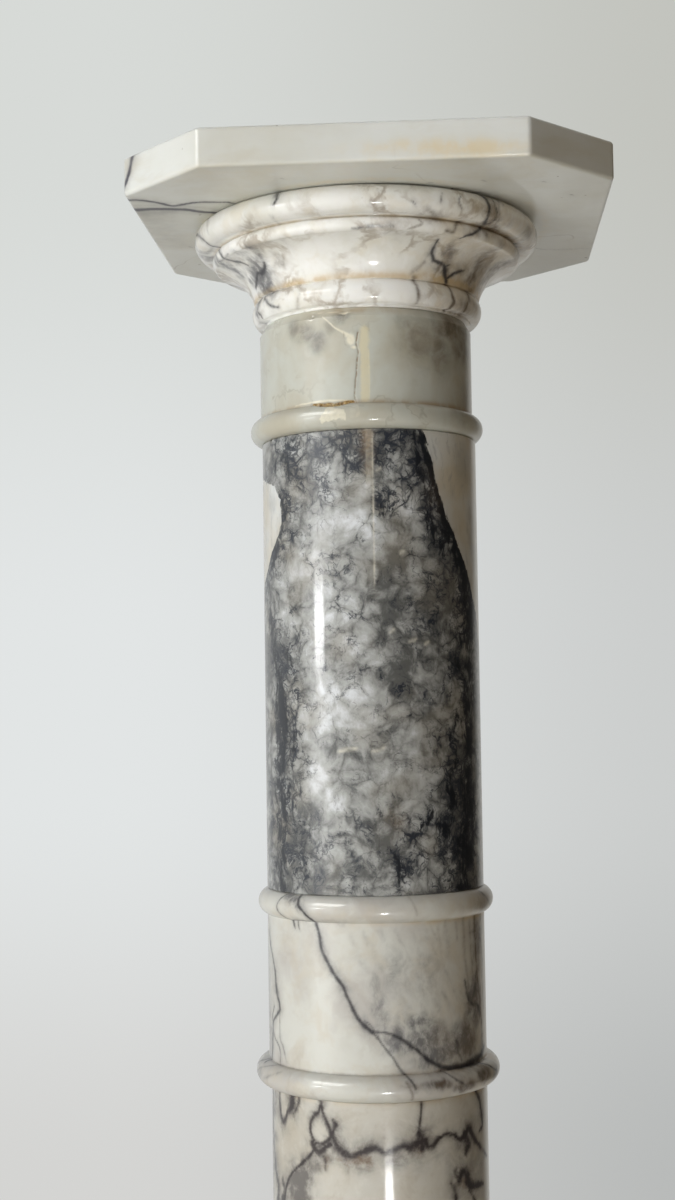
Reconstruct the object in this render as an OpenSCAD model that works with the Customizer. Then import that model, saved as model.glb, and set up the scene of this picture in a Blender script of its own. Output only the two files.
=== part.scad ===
// A turned pedestal column, made of stacked stones: an octagonal top plate, a moulded
// capital, a neck, a plain upper drum, a short drum between two rings, a lower drum,
// a moulded foot and an octagonal plinth. Millimetres, +Z up, origin on the floor
// under the middle of the plinth, with one flat side of the plate facing -Y.

/* [Top plate] */
// Width of the plate across its long sides
plate_w = 256; // [230:1:310]
// Thickness of the plate
plate_t = 20.5; // [14:0.5:40]
// Length that each cut corner takes off a side
plate_clip = 45; // [20:1:70]
// Rounding of the plate's upper and lower edges
plate_round = 2; // [0.5:0.5:4]
// How far the plate lies off the shaft's axis, towards +X
plate_shift = 4.8; // [0:0.2:8]

/* [Capital] */
// Diameter over the torus under the plate
torus_d = 194; // [180:1:220]
// Height of the torus
torus_h = 14.9; // [10:0.1:20]
// Diameter over the bead below the torus
bead_d = 174; // [164:1:178]
// Height of the bead
bead_h = 7.7; // [5:0.1:12]
// Height of the hollow below the bead
cavetto_h = 19.7; // [14:0.1:30]
// Depth of the hollow, measured from the straight line between its ends
cavetto_sag = 4; // [1:0.5:6]
// How far the foot of the hollow stands out from the shaft
cavetto_foot = 3.6; // [2:0.1:5]
// How far the capital's lower ring stands out from the shaft
collar_stand = 4.8; // [3:0.1:9]
// Height of the capital's lower ring
collar_h = 12.9; // [8:0.1:18]
// Height of the thin band that the capital stands on
fillet_h = 1.3; // [0.8:0.1:3]

/* [Shaft] */
// Diameter of the shaft
shaft_d = 120; // [100:1:144]
// Height of the upper drum
upper_drum_h = 246.5; // [180:0.5:320]
// Height of the lower drum
lower_drum_h = 246.5; // [180:0.5:320]
// How much narrower the lower drum is than the shaft
lower_drum_step = 1.2; // [0:0.2:2]
// How far the lower drum lies off the shaft's axis, towards +X
lower_drum_shift = 0.6; // [0:0.1:1.5]
// Bevel on the edges of each plain drum
drum_bevel = 0.6; // [0.3:0.1:2]

/* [Neck] */
// Height of the neck, with its ring
neck_h = 66; // [50:0.5:90]
// How much narrower the neck is than the shaft
neck_step = 0.8; // [0:0.2:2]
// How far the neck lies off the shaft's axis, towards -X
neck_shift = 1.1; // [0:0.1:1.5]
// Height of the bevel at the top of the neck
neck_bevel_h = 5; // [2:0.5:8]
// How far the bevel at the top of the neck runs in
neck_bevel_in = 3; // [1:0.5:5]
// How far the neck's ring stands out
neck_ring_stand = 5.8; // [3:0.1:9]

/* [Rings] */
// Height of each ring on the shaft
ring_h = 14; // [10:0.5:18]
// Height of the short drum, with both of its rings
ring_drum_h = 106; // [80:0.5:140]
// How far the short drum's upper ring stands out
upper_ring_stand = 5; // [3:0.1:9]
// How far the short drum's lower ring stands out
lower_ring_stand = 7; // [3:0.1:9]

/* [Foot] */
// How far the ring at the top of the foot stands out
foot_ring_stand = 6; // [3:0.1:9]
// Height of the plain band below that ring
foot_band_h = 52; // [30:1:90]
// Height of the hollow below the band
foot_cavetto_h = 24; // [16:1:36]
// Depth of the foot's hollow, measured from the straight line between its ends
foot_cavetto_sag = 5; // [1:0.5:7]
// Diameter over the foot's bead
foot_bead_d = 190; // [178:1:196]
// Height of the foot's bead
foot_bead_h = 8; // [5:0.5:12]
// Diameter over the foot's torus
foot_torus_d = 214; // [200:1:226]
// Height of the foot's torus
foot_torus_h = 20; // [12:0.5:26]

/* [Plinth] */
// Width of the plinth across its long sides
plinth_w = 280; // [260:1:340]
// Thickness of the plinth
plinth_t = 40; // [25:1:60]
// Length that each cut corner takes off a side of the plinth
plinth_clip = 50; // [20:1:75]
// Rounding of the plinth's upper and lower edges
plinth_round = 3; // [0.5:0.5:5]

/* [Hidden] */
$fn = 96;

shaft_r = shaft_d / 2;
// How far the root of a ring lies inside the face of the shaft
ring_root_in = 0.3;
// How far the root of a bead lies inside the bead's widest line
bead_root_in = 2.6;
// How far a hollow starts inside the root of the bead beside it
bead_quirk = 0.8;
// How far the root of the capital's lower ring lies inside its widest line
collar_root_in = 3;
// How far the thin band under the capital lies inside the shaft's face
fillet_in = 1.5;

capital_h = torus_h + bead_h + cavetto_h + collar_h + fillet_h;
foot_h = ring_h + foot_band_h + foot_cavetto_h + foot_bead_h + foot_torus_h;

// Height of the underside of each stone, from the floor up
foot_z = plinth_t;
lower_drum_z = foot_z + foot_h;
ring_drum_z = lower_drum_z + lower_drum_h;
upper_drum_z = ring_drum_z + ring_drum_h;
neck_z = upper_drum_z + upper_drum_h;
capital_z = neck_z + neck_h;
plate_z = capital_z + capital_h;

// Radius of the arc that spans a chord and rises by a given height above it
function arc_radius(chord, rise) = (chord * chord / 4 + rise * rise) / (2 * rise);

// A band of the profile from the axis out to a radius
module band(radius, height) {
    square([radius, height]);
}

// A band whose outer edge swells out in one arc, never rounder than a half circle
module half_round(outer_r, root_r, height) {
    rise = min(outer_r - root_r, height / 2);
    radius = arc_radius(height, rise);
    intersection() {
        band(2 * outer_r, height);
        union() {
            band(outer_r - radius, height);
            translate([outer_r - radius, height / 2]) circle(r = radius);
        }
    }
}

// A band whose outer edge is a hollow arc, from a radius at its foot to one at its top
module hollow(foot_r, top_r, height, sag) {
    run = top_r - foot_r;
    chord = sqrt(run * run + height * height);
    radius = arc_radius(chord, sag);
    reach = (radius - sag) / chord;
    difference() {
        polygon([[0, 0], [foot_r, 0], [top_r, height], [0, height]]);
        translate([(foot_r + top_r) / 2 + height * reach, height / 2 - run * reach])
            circle(r = radius);
    }
}

// A plain drum with a small bevel on both edges
module drum(radius, height, bevel) {
    rotate_extrude()
        polygon([
            [0, 0], [radius - bevel, 0], [radius, bevel],
            [radius, height - bevel], [radius - bevel, height], [0, height]
        ]);
}

// Cross-section of a slab, each corner rounded by short strips between points on an arc
module slab_section(width, thickness, radius) {
    strips = 6;
    polygon([
        for (corner = [0:3], strip = [0:strips])
            let (
                turn = 90 * (corner + strip / strips),
                side = corner == 0 || corner == 3 ? 1 : -1,
                level = corner < 2 ? 1 : -1
            )
            [
                side * (width / 2 - radius) + radius * cos(turn),
                level * (thickness / 2 - radius) + radius * sin(turn)
            ]
    ]);
}

// A slab with four long sides and four cut corners, and its edges rounded
module octagon_slab(width, clip, thickness, radius) {
    corner_w = (width - clip) * sqrt(2);
    translate([0, 0, thickness / 2])
        intersection_for (turn = [0:45:135])
            rotate([90, 0, turn])
                linear_extrude(height = 2 * width, center = true)
                    slab_section(turn % 90 == 0 ? width : corner_w, thickness, radius);
}

module top_plate() {
    color("ivory")
        translate([plate_shift, 0, plate_z])
            octagon_slab(plate_w, plate_clip, plate_t, plate_round);
}

module capital() {
    bead_root_r = bead_d / 2 - bead_root_in;
    collar_root_r = shaft_r + collar_stand - collar_root_in;
    color("oldlace")
        translate([0, 0, capital_z])
            rotate_extrude() {
                band(shaft_r - fillet_in, fillet_h);
                translate([0, fillet_h])
                    half_round(shaft_r + collar_stand, collar_root_r, collar_h);
                translate([0, fillet_h + collar_h])
                    hollow(shaft_r + cavetto_foot, bead_root_r - bead_quirk, cavetto_h, cavetto_sag);
                translate([0, fillet_h + collar_h + cavetto_h])
                    half_round(bead_d / 2, bead_root_r, bead_h);
                translate([0, capital_h - torus_h])
                    half_round(torus_d / 2, bead_root_r, torus_h);
            }
}

module neck() {
    neck_r = shaft_r - neck_step / 2;
    color("darkseagreen")
        translate([-neck_shift, 0, neck_z])
            rotate_extrude() {
                half_round(neck_r + neck_ring_stand, neck_r - ring_root_in, ring_h);
                band(neck_r, neck_h - neck_bevel_h);
                translate([0, neck_h - neck_bevel_h])
                    polygon([
                        [0, 0], [neck_r, 0], [neck_r - neck_bevel_in, neck_bevel_h], [0, neck_bevel_h]
                    ]);
            }
}

module upper_drum() {
    color("slategray")
        translate([0, 0, upper_drum_z])
            drum(shaft_r, upper_drum_h, drum_bevel);
}

module ring_drum() {
    color("whitesmoke")
        translate([0, 0, ring_drum_z])
            rotate_extrude() {
                half_round(shaft_r + lower_ring_stand, shaft_r - ring_root_in, ring_h);
                band(shaft_r, ring_drum_h);
                translate([0, ring_drum_h - ring_h])
                    half_round(shaft_r + upper_ring_stand, shaft_r - ring_root_in, ring_h);
            }
}

module lower_drum() {
    color("wheat")
        translate([lower_drum_shift, 0, lower_drum_z])
            drum(shaft_r - lower_drum_step / 2, lower_drum_h, drum_bevel);
}

module foot() {
    foot_bead_root_r = foot_bead_d / 2 - bead_root_in;
    hollow_r = foot_bead_root_r - bead_quirk;
    band_z = foot_torus_h + foot_bead_h + foot_cavetto_h;
    color("linen")
        translate([0, 0, foot_z])
            rotate_extrude() {
                half_round(foot_torus_d / 2, foot_bead_root_r, foot_torus_h);
                translate([0, foot_torus_h])
                    half_round(foot_bead_d / 2, foot_bead_root_r, foot_bead_h);
                translate([0, band_z])
                    mirror([0, 1])
                        hollow(shaft_r, hollow_r, foot_cavetto_h, foot_cavetto_sag);
                translate([0, band_z])
                    band(shaft_r, foot_band_h + ring_h);
                translate([0, foot_h - ring_h])
                    half_round(shaft_r + foot_ring_stand, shaft_r - ring_root_in, ring_h);
            }
}

module plinth() {
    color("beige")
        octagon_slab(plinth_w, plinth_clip, plinth_t, plinth_round);
}

top_plate();
capital();
neck();
upper_drum();
ring_drum();
lower_drum();
foot();
plinth();
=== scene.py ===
"""A turned pedestal column of eight marble and alabaster stones: an octagonal top plate, a moulded capital,
a mended neck, a clouded grey drum, a white drum between two rings, a cream drum, a moulded foot and a plinth.

Each stone is a skin of points worked out with numpy. Its veins, clouds, stains and mends are laid on the
points as smooth measures, and its marble takes its colour, gloss and grain from them and from fine noise.
Lengths in the tables are millimetres, and angles are degrees round the axis, from the front towards +X.
"""

import math

import bpy
import numpy as np
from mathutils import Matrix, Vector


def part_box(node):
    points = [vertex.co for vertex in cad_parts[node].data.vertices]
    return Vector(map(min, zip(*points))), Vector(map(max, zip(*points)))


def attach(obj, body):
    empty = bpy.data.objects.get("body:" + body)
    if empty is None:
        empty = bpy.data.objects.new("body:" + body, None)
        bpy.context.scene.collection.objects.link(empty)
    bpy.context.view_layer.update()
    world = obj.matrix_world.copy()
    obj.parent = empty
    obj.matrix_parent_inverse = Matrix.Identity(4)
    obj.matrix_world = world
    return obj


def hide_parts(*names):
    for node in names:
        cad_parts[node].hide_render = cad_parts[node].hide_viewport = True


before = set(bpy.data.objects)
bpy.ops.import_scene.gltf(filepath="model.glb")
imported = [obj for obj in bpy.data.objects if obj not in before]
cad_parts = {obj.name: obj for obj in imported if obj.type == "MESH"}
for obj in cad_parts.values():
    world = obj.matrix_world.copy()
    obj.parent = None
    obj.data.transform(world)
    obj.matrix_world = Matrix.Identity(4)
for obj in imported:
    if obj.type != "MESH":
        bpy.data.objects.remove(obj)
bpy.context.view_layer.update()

MM = 0.001
# Half the sum of two lengths in metres, in millimetres
HALF_IN_MM = 500
LATTICE_SIDE = 48
LATTICE = np.random.default_rng(41).random((LATTICE_SIDE,) * 3).astype(np.float32)
# A distance, in half-widths of a vein, at which nothing of it is left
FAR = 99.0
# Two points of a profile closer than this are one point
SAME_SPOT = 0.02


# ---------------------------------------------------------------- noise and paths

def soft_noise(points, size, octaves=3, shift=0.0):
    """Smooth noise from -1 to 1 at points in mm. Random numbers on a lattice `size` mm apart are joined by
    cubic steps; each further octave has half the size and half the strength."""
    total = np.zeros(len(points), np.float32)
    strength, whole = 1.0, 0.0
    for octave in range(octaves):
        spot = points / size + 17.3 * octave + shift
        cell = np.floor(spot).astype(int)
        part = (spot - cell).astype(np.float32)
        part = part * part * (3 - 2 * part)
        value = 0.0
        for corner in range(8):
            step = np.array([corner & 1, corner >> 1 & 1, corner >> 2 & 1])
            x, y, z = ((cell + step) % LATTICE_SIDE).T
            share = np.where(step, part, 1 - part).prod(axis=1)
            value = value + share * LATTICE[x, y, z]
        total += strength * (2 * value - 1)
        whole += strength
        size, strength = size / 2, strength / 2
    return total / whole


def ramp(value, low, high):
    """0 below low, 1 above high, and a smooth cubic step between them."""
    part = np.clip((value - low) / (high - low), 0, 1)
    return part * part * (3 - 2 * part)


def hump(value, middle, width):
    """1 at the middle, falling off on both sides as exp(-(distance / width) ** 2)."""
    return np.exp(-(((value - middle) / width) ** 2))


def bend_through(points, steps=5):
    """A smooth line through the given points: a Catmull-Rom cubic between each pair, `steps` pieces long."""
    given = np.array(points, float)
    if len(given) < 3:
        steps = 2
    wide = np.vstack([2 * given[0] - given[1], given, 2 * given[-1] - given[-2]])
    a, b, c, d = wide[:-3, None], wide[1:-2, None], wide[2:-1, None], wide[3:, None]
    t = (np.arange(steps) / steps)[None, :, None]
    line = 0.5 * (2 * b + (c - a) * t + (2 * a - 5 * b + 4 * c - d) * t**2 + (3 * b - a - 3 * c + d) * t**3)
    return np.vstack([line.reshape(-1, given.shape[1]), given[-1:]])


def closeness(points, line, widths):
    """Distance from each point to a line of straight pieces, over the line's half-width there. For each piece
    the point is dropped square on to it, and held between its ends. Points out of reach are FAR."""
    best = np.full(len(points), FAR, np.float32)
    reach = 5 * widths.max() + 3
    inside = ((points > line.min(0) - reach) & (points < line.max(0) + reach)).all(1)
    some = points[inside]
    found = best[inside]
    for start, end, width_a, width_b in zip(line[:-1], line[1:], widths[:-1], widths[1:]):
        run = end - start
        t = np.clip((some - start) @ run / max(run @ run, 1e-9), 0, 1)
        gap = np.linalg.norm(some - start - t[:, None] * run, axis=1)
        found = np.minimum(found, gap / (width_a + (width_b - width_a) * t))
    best[inside] = found
    return best


# ---------------------------------------------------------------- profiles of the turned stones

def straight(corners, step):
    """Points along straight runs between corners, about `step` apart, with a point just beside each
    corner."""
    beside = 0.15
    rows = []
    for start, end in zip(corners[:-1], corners[1:]):
        start, end = np.array(start, float), np.array(end, float)
        length = np.linalg.norm(end - start)
        count = max(int(round(length / step)), 1)
        t = np.linspace(0, 1, count + 1)
        if length > 4 * beside:
            t = np.unique(np.concatenate([t, [beside / length, 1 - beside / length]]))
        rows.append(start + t[:, None] * (end - start))
    return np.vstack(rows)


def swelling(outer, root, height, foot, rows):
    """A half-round moulding: the arc through (root, foot) and (root, foot + height) that reaches `outer`,
    never rounder than a half circle."""
    rise = min(outer - root, height / 2)
    radius = (height**2 / 4 + rise**2) / (2 * rise)
    turn = math.asin(min(height / 2 / radius, 1.0))
    angle = np.linspace(-turn, turn, rows)
    return np.stack([outer - radius + radius * np.cos(angle), foot + height / 2 + radius * np.sin(angle)], 1)


def dipping(start, end, sag, rows):
    """A hollow moulding: the arc from start to end that dips `sag` inwards from the straight line between."""
    start, end = np.array(start, float), np.array(end, float)
    chord = np.linalg.norm(end - start)
    radius = (chord**2 / 4 + sag**2) / (2 * sag)
    t = np.linspace(0, 1, rows)
    depth = np.sqrt(radius**2 - ((t - 0.5) * chord) ** 2) - (radius - sag)
    along = (end - start) / chord
    inward = np.array([-along[1], along[0]])
    return start + t[:, None] * (end - start) + depth[:, None] * inward


def round_the_shaft(side, low, high):
    """The profile, with no point between two heights closer to the axis than the face of the shaft."""
    out, up = side.T
    return np.stack([np.where((up > low) & (up < high), np.maximum(out, SHAFT_RADIUS), out), up], 1)


def turn_columns(*spans):
    """Angles round the stone in degrees, from (first, last, step) spans that meet end to end."""
    return np.concatenate([np.arange(first, last - 1e-6, step) for first, last, step in spans])


SHAFT_RADIUS = 60
# The front of a stone has close columns; its back, from 104 to 256 degrees, has wider ones
FRONT_AND_BACK = turn_columns((-104, 104, 0.64), (104, 256, 2.0))
DRUM_COLUMNS = turn_columns((-98, 98, 0.64), (98, 262, 2.05))
NECK_COLUMNS = turn_columns((-105, -32, 0.8), (-32, 10, 0.4), (10, 105, 0.8), (105, 255, 1.4))
FOOT_COLUMNS = turn_columns((-105, 105, 1.25), (105, 255, 2.0))


# ---------------------------------------------------------------- the stones

class Stone:
    """A closed grid of points in mm, with an outward normal, a place on the surface and measures per point.
    `thicken` widens every vein, and `bleed` is the strength of the smoke round a dark one."""

    thicken = 1.35
    bleed = 0.5
    thinnest = 0.7
    smoke_spread = 4

    def __init__(self, node, spots, normals, degrees=None, along=None, profile=None):
        self.node = node
        self.shape = spots.shape[:2]
        self.spots = spots.reshape(-1, 3)
        self.normals = normals.reshape(-1, 3)
        self.degrees = None if degrees is None else degrees.ravel()
        self.along = None if along is None else along.ravel()
        self.profile = profile
        self.depth = np.zeros(len(self.spots))
        self.measures = {}
        wander = np.stack([soft_noise(self.spots, 7, 3, s) for s in (0.0, 5.0, 11.0)], 1)
        self.wavy = self.spots + 0.9 * wander

    def at(self, points):
        """Points given as (degrees, mm along the profile) on the turned surface."""
        run, out, up, middle = self.profile
        points = np.array(points, float)
        angle = np.radians(points[:, 0])
        radius = np.interp(points[:, 1], run, out)
        height = np.interp(points[:, 1], run, up)
        return np.stack([middle + radius * np.sin(angle), -radius * np.cos(angle), height], 1)

    def line(self, field, points, strength=1.0, soft=1.5, waves=1.0, bleed=None):
        """Draws a vein through (degrees, mm along, half-width) points, or (x, y, z, half-width) on a slab:
        strength * exp(-(distance / half-width) ** soft), kept where it is the strongest. A dark vein also
        bleeds: soft smoke lies round it, `smoke_spread` times as wide."""
        smooth = bend_through(points)
        path = smooth[:, :3] if self.profile is None else self.at(smooth[:, :2])
        spots = self.spots + waves * (self.wavy - self.spots)
        gap = closeness(spots, path, np.maximum(self.thicken * np.abs(smooth[:, -1]), self.thinnest))
        self.keep(field, strength * np.exp(-(gap**soft)))
        if field == "ink":
            bleed = self.bleed if bleed is None else bleed
            self.keep("smoke", bleed * strength * np.exp(-((gap / self.smoke_spread) ** 1.6)))

    def blot(self, field, patches, waves=2.0):
        """Lays soft oval patches, each (degrees, mm along, half width, half height, strength)."""
        spots = self.spots + waves * (self.wavy - self.spots)
        for degrees, along, wide, high, strength in patches:
            middle = self.at([(degrees, along)])[0]
            angle = math.radians(degrees)
            aside = np.array([math.cos(angle), math.sin(angle), 0])
            away = spots - middle
            across = away @ aside / wide
            up = away[:, 2] / high
            ahead = np.linalg.norm(away, axis=1) / (2 * max(wide, high) + 20)
            self.keep(field, strength * np.exp(-(across**2 + up**2 + ahead**4)))

    def keep(self, field, value):
        """Keeps the larger of the measure that is there and the new one."""
        self.measures[field] = np.maximum(self.measures.get(field, 0.0), value)

    def add(self, field, value):
        """Adds to a measure, and holds it between 0 and 1.5."""
        self.measures[field] = np.clip(self.measures.get(field, 0.0) + value, 0, 1.5)

    def wear(self, levels, reach, depth, size, share):
        """Small chips along the edges at the given places: hollows where noise is high, deepest at the
        edge."""
        lumps = ramp(soft_noise(self.spots, size, 3, 3.0), share, share + 0.35)
        for level in levels:
            self.depth += depth * hump(self.along, level, reach) * lumps

    def build(self, slot, material):
        rows, columns = self.shape
        spots = (self.spots - self.depth[:, None] * self.normals) * MM
        grid = np.arange(rows * columns).reshape(rows, columns)
        around = np.roll(grid, -1, axis=1)
        quads = np.stack([grid[:-1], around[:-1], around[1:], grid[1:]], -1).reshape(-1, 4)
        ends = spots.reshape(rows, columns, 3)[[0, -1]].mean(1)
        low, high = rows * columns, rows * columns + 1
        fan_low = np.stack([np.full(columns, low), around[0], grid[0]], -1)
        fan_high = np.stack([np.full(columns, high), grid[-1], around[-1]], -1)
        corners = np.concatenate([quads.ravel(), fan_low.ravel(), fan_high.ravel()])
        counts = np.concatenate([np.full(len(quads), 4), np.full(2 * columns, 3)])
        mesh = bpy.data.meshes.new(self.node + "_stone")
        mesh.vertices.add(len(spots) + 2)
        mesh.vertices.foreach_set("co", np.vstack([spots, ends]).astype(np.float32).ravel())
        mesh.loops.add(len(corners))
        mesh.loops.foreach_set("vertex_index", corners.astype(np.int32))
        mesh.polygons.add(len(counts))
        mesh.polygons.foreach_set("loop_start", (np.cumsum(counts) - counts).astype(np.int32))
        mesh.update(calc_edges=True)
        mesh.validate()
        mesh.polygons.foreach_set("use_smooth", np.ones(len(mesh.polygons), bool))
        for field, value in self.measures.items():
            value = np.broadcast_to(value, len(spots)).reshape(rows, columns)
            whole = np.concatenate([value.ravel(), value[[0, -1]].mean(1)])
            layer = mesh.attributes.new(field, "FLOAT", "POINT")
            layer.data.foreach_set("value", whole.astype(np.float32))
        mesh.update()
        piece = bpy.data.objects.new(self.node + "_marble", mesh)
        bpy.context.scene.collection.objects.link(piece)
        mesh.materials.append(material)
        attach(piece, "root")
        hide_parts(self.node)
        return piece


def turned_stone(node, side, columns, by_height=True):
    """A stone from its side profile turned about its own axis: x = r sin a, y = -r cos a, z, with flat ends.
    A place along it is its height over the stone's foot, or the length along the profile from there."""
    low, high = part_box(node)
    middle = HALF_IN_MM * (low.x + high.x)
    apart = np.concatenate([[True], np.hypot(*np.diff(side, axis=0).T) > SAME_SPOT])
    side = side[apart]
    ends = np.array([0.3, 0.7, 0.92])[:, None]
    foot_face = ends * side[0] * [1, 0] + [0, side[0, 1]]
    top_face = ends[::-1] * side[-1] * [1, 0] + [0, side[-1, 1]]
    profile = np.vstack([foot_face, side, top_face])
    out, up = profile[:, 0], profile[:, 1] + low.z / MM
    run = np.concatenate([[0], np.cumsum(np.hypot(np.diff(out), np.diff(up)))])
    run = run - run[len(ends)]
    slope_out, slope_up = np.gradient(out, run), np.gradient(up, run)
    size = np.hypot(slope_out, slope_up)
    angle = np.radians(columns)[None, :]

    def turned(outward, upward, start=0.0):
        """The numbers given for the profile, taken round the axis."""
        out_row, up_row = outward[:, None], upward[:, None]
        return np.stack([start + out_row * np.sin(angle), -out_row * np.cos(angle), up_row + 0 * angle], -1)

    place = profile[:, 1] if by_height else run
    degrees, along = np.broadcast_arrays(columns[None, :], place[:, None])
    spots, normals = turned(out, up, middle), turned(slope_up / size, -slope_out / size)
    return Stone(node, spots, normals, degrees, along, (place, out, up, middle))


def eight_sided_stone(node, clip, edge, corner, face_rows):
    """An eight-sided slab. A column of the grid is a point A of the outline with its outward normal N; a
    level that lies t inside the outline is A - t N, and the flat faces shrink it in towards the middle."""
    spacing, corner_steps, edge_steps, side_rows = 1.3, 8, 7, 16
    low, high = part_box(node)
    middle = HALF_IN_MM * (low.x + high.x)
    half = HALF_IN_MM * (high.x - low.x)
    reach = np.array([half, (2 * half - clip) / math.sqrt(2)] * 4)
    bend = math.radians(45)
    trim = corner * math.tan(bend / 2)
    outline, outward = [], []
    for side in range(8):
        angle = math.radians(45 * side - 90)
        before, here, after = reach[side - 1], reach[side], reach[(side + 1) % 8]
        first = -(before - here * math.cos(bend)) / math.sin(bend)
        last = (after - here * math.cos(bend)) / math.sin(bend)
        t = np.linspace(first + trim, last - trim, int((last - first) / spacing))[:, None]
        normal = np.array([math.cos(angle), math.sin(angle)])
        tangent = np.array([-normal[1], normal[0]])
        outline.append(here * normal + t * tangent)
        outward.append(np.broadcast_to(normal, (len(t), 2)))
        arc = angle + np.linspace(0, bend, corner_steps)[1:-1, None]
        turn = np.hstack([np.cos(arc), np.sin(arc)])
        outline.append((here - corner) * normal + (last - trim) * tangent + corner * turn)
        outward.append(turn)
    outline, outward = np.vstack(outline), np.vstack(outward)
    bottom, top = low.z / MM, high.z / MM

    def face(shares, height, lift):
        return [(share * (outline - edge * outward), height, 0 * outward, lift) for share in shares]

    def rounded(turns, face_height, way):
        """Levels round the edge of a face, with way 1 above the lower face and -1 below the upper one."""
        for turn in np.radians(turns):
            aside, lift = math.sin(turn), math.cos(turn)
            height = face_height + way * (edge * (1 - lift))
            yield outline - edge * (1 - aside) * outward, height, aside * outward, -way * lift

    quarter = np.linspace(0, 90, edge_steps)
    heights = np.linspace(bottom + edge, top - edge, side_rows)[1:-1]
    levels = [
        *face(face_rows, bottom, -1.0),
        *rounded(quarter[1:], bottom, 1),
        *((outline, height, outward, 0.0) for height in heights),
        *rounded(quarter[:0:-1], top, -1),
        *face(face_rows[::-1], top, 1.0),
    ]
    count = len(outline)
    spots = np.stack([np.hstack([flat, np.full((count, 1), z)]) for flat, z, _, _ in levels])
    normals = np.stack([np.hstack([side, np.full((count, 1), lift)]) for _, _, side, lift in levels])
    spots[..., 0] += middle
    return Stone(node, spots, normals)


# ---------------------------------------------------------------- recipes for the marbles

def paint(red, green, blue):
    """A colour from 0 to 255 screen values, as the linear colour that a shader takes."""
    level = np.array([red, green, blue]) / 255
    linear = np.where(level <= 0.04045, level / 12.92, ((level + 0.055) / 1.055) ** 2.4)
    return (*linear.tolist(), 1.0)


class Mixer:
    """Short words for the nodes of one node tree. Sizes are in metres."""

    def __init__(self, owner):
        owner.use_nodes = True
        self.tree = owner.node_tree
        self.tree.nodes.clear()

    def node(self, kind, **choices):
        made = self.tree.nodes.new(kind)
        for name, value in choices.items():
            setattr(made, name, value)
        return made

    def feed(self, socket, value):
        if isinstance(value, bpy.types.NodeSocket):
            self.tree.links.new(value, socket)
        else:
            socket.default_value = value

    def made(self, kind, *values, **choices):
        """A new node with its first inputs fed in order."""
        node = self.node(kind, **choices)
        for socket, value in zip(node.inputs, values):
            self.feed(socket, value)
        return node

    def math(self, operation, first, second=0.0):
        return self.made("ShaderNodeMath", first, second, operation=operation).outputs[0]

    def times(self, first, second):
        return self.math("MULTIPLY", first, second)

    def larger(self, first, second):
        return self.math("MAXIMUM", first, second)

    def total(self, *parts):
        """The sum of share * value for each (share, value)."""
        summed = None
        for share, value in parts:
            part = self.times(value, share)
            summed = part if summed is None else self.math("ADD", summed, part)
        return summed

    def span(self, value, low, high, bottom=0.0, top=1.0):
        """A smooth step: bottom where value is below low, top where it is above high."""
        numbers = (value, low, high, bottom, top)
        return self.made("ShaderNodeMapRange", *numbers, interpolation_type="SMOOTHSTEP").outputs[0]

    def blend(self, share, first, second):
        """The first colour where share is 0, the second where it is 1."""
        made = self.node("ShaderNodeMix", data_type="RGBA")
        self.feed(made.inputs[0], share)
        self.feed(made.inputs[6], first)
        self.feed(made.inputs[7], second)
        return made.outputs[2]

    def tinted(self, colour, field, low, high, most, tint):
        """The colour, taken up to `most` of the way to the tint as the field rises from low to high."""
        return self.blend(self.span(field, low, high, 0.0, most), colour, tint)

    def shown(self):
        """1 for the camera, the polish and clear things, which see the room as it is painted; else 0."""
        path = self.node("ShaderNodeLightPath").outputs
        seen = self.larger(path["Is Camera Ray"], path["Is Glossy Ray"])
        return self.larger(seen, path["Is Transmission Ray"])


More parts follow.
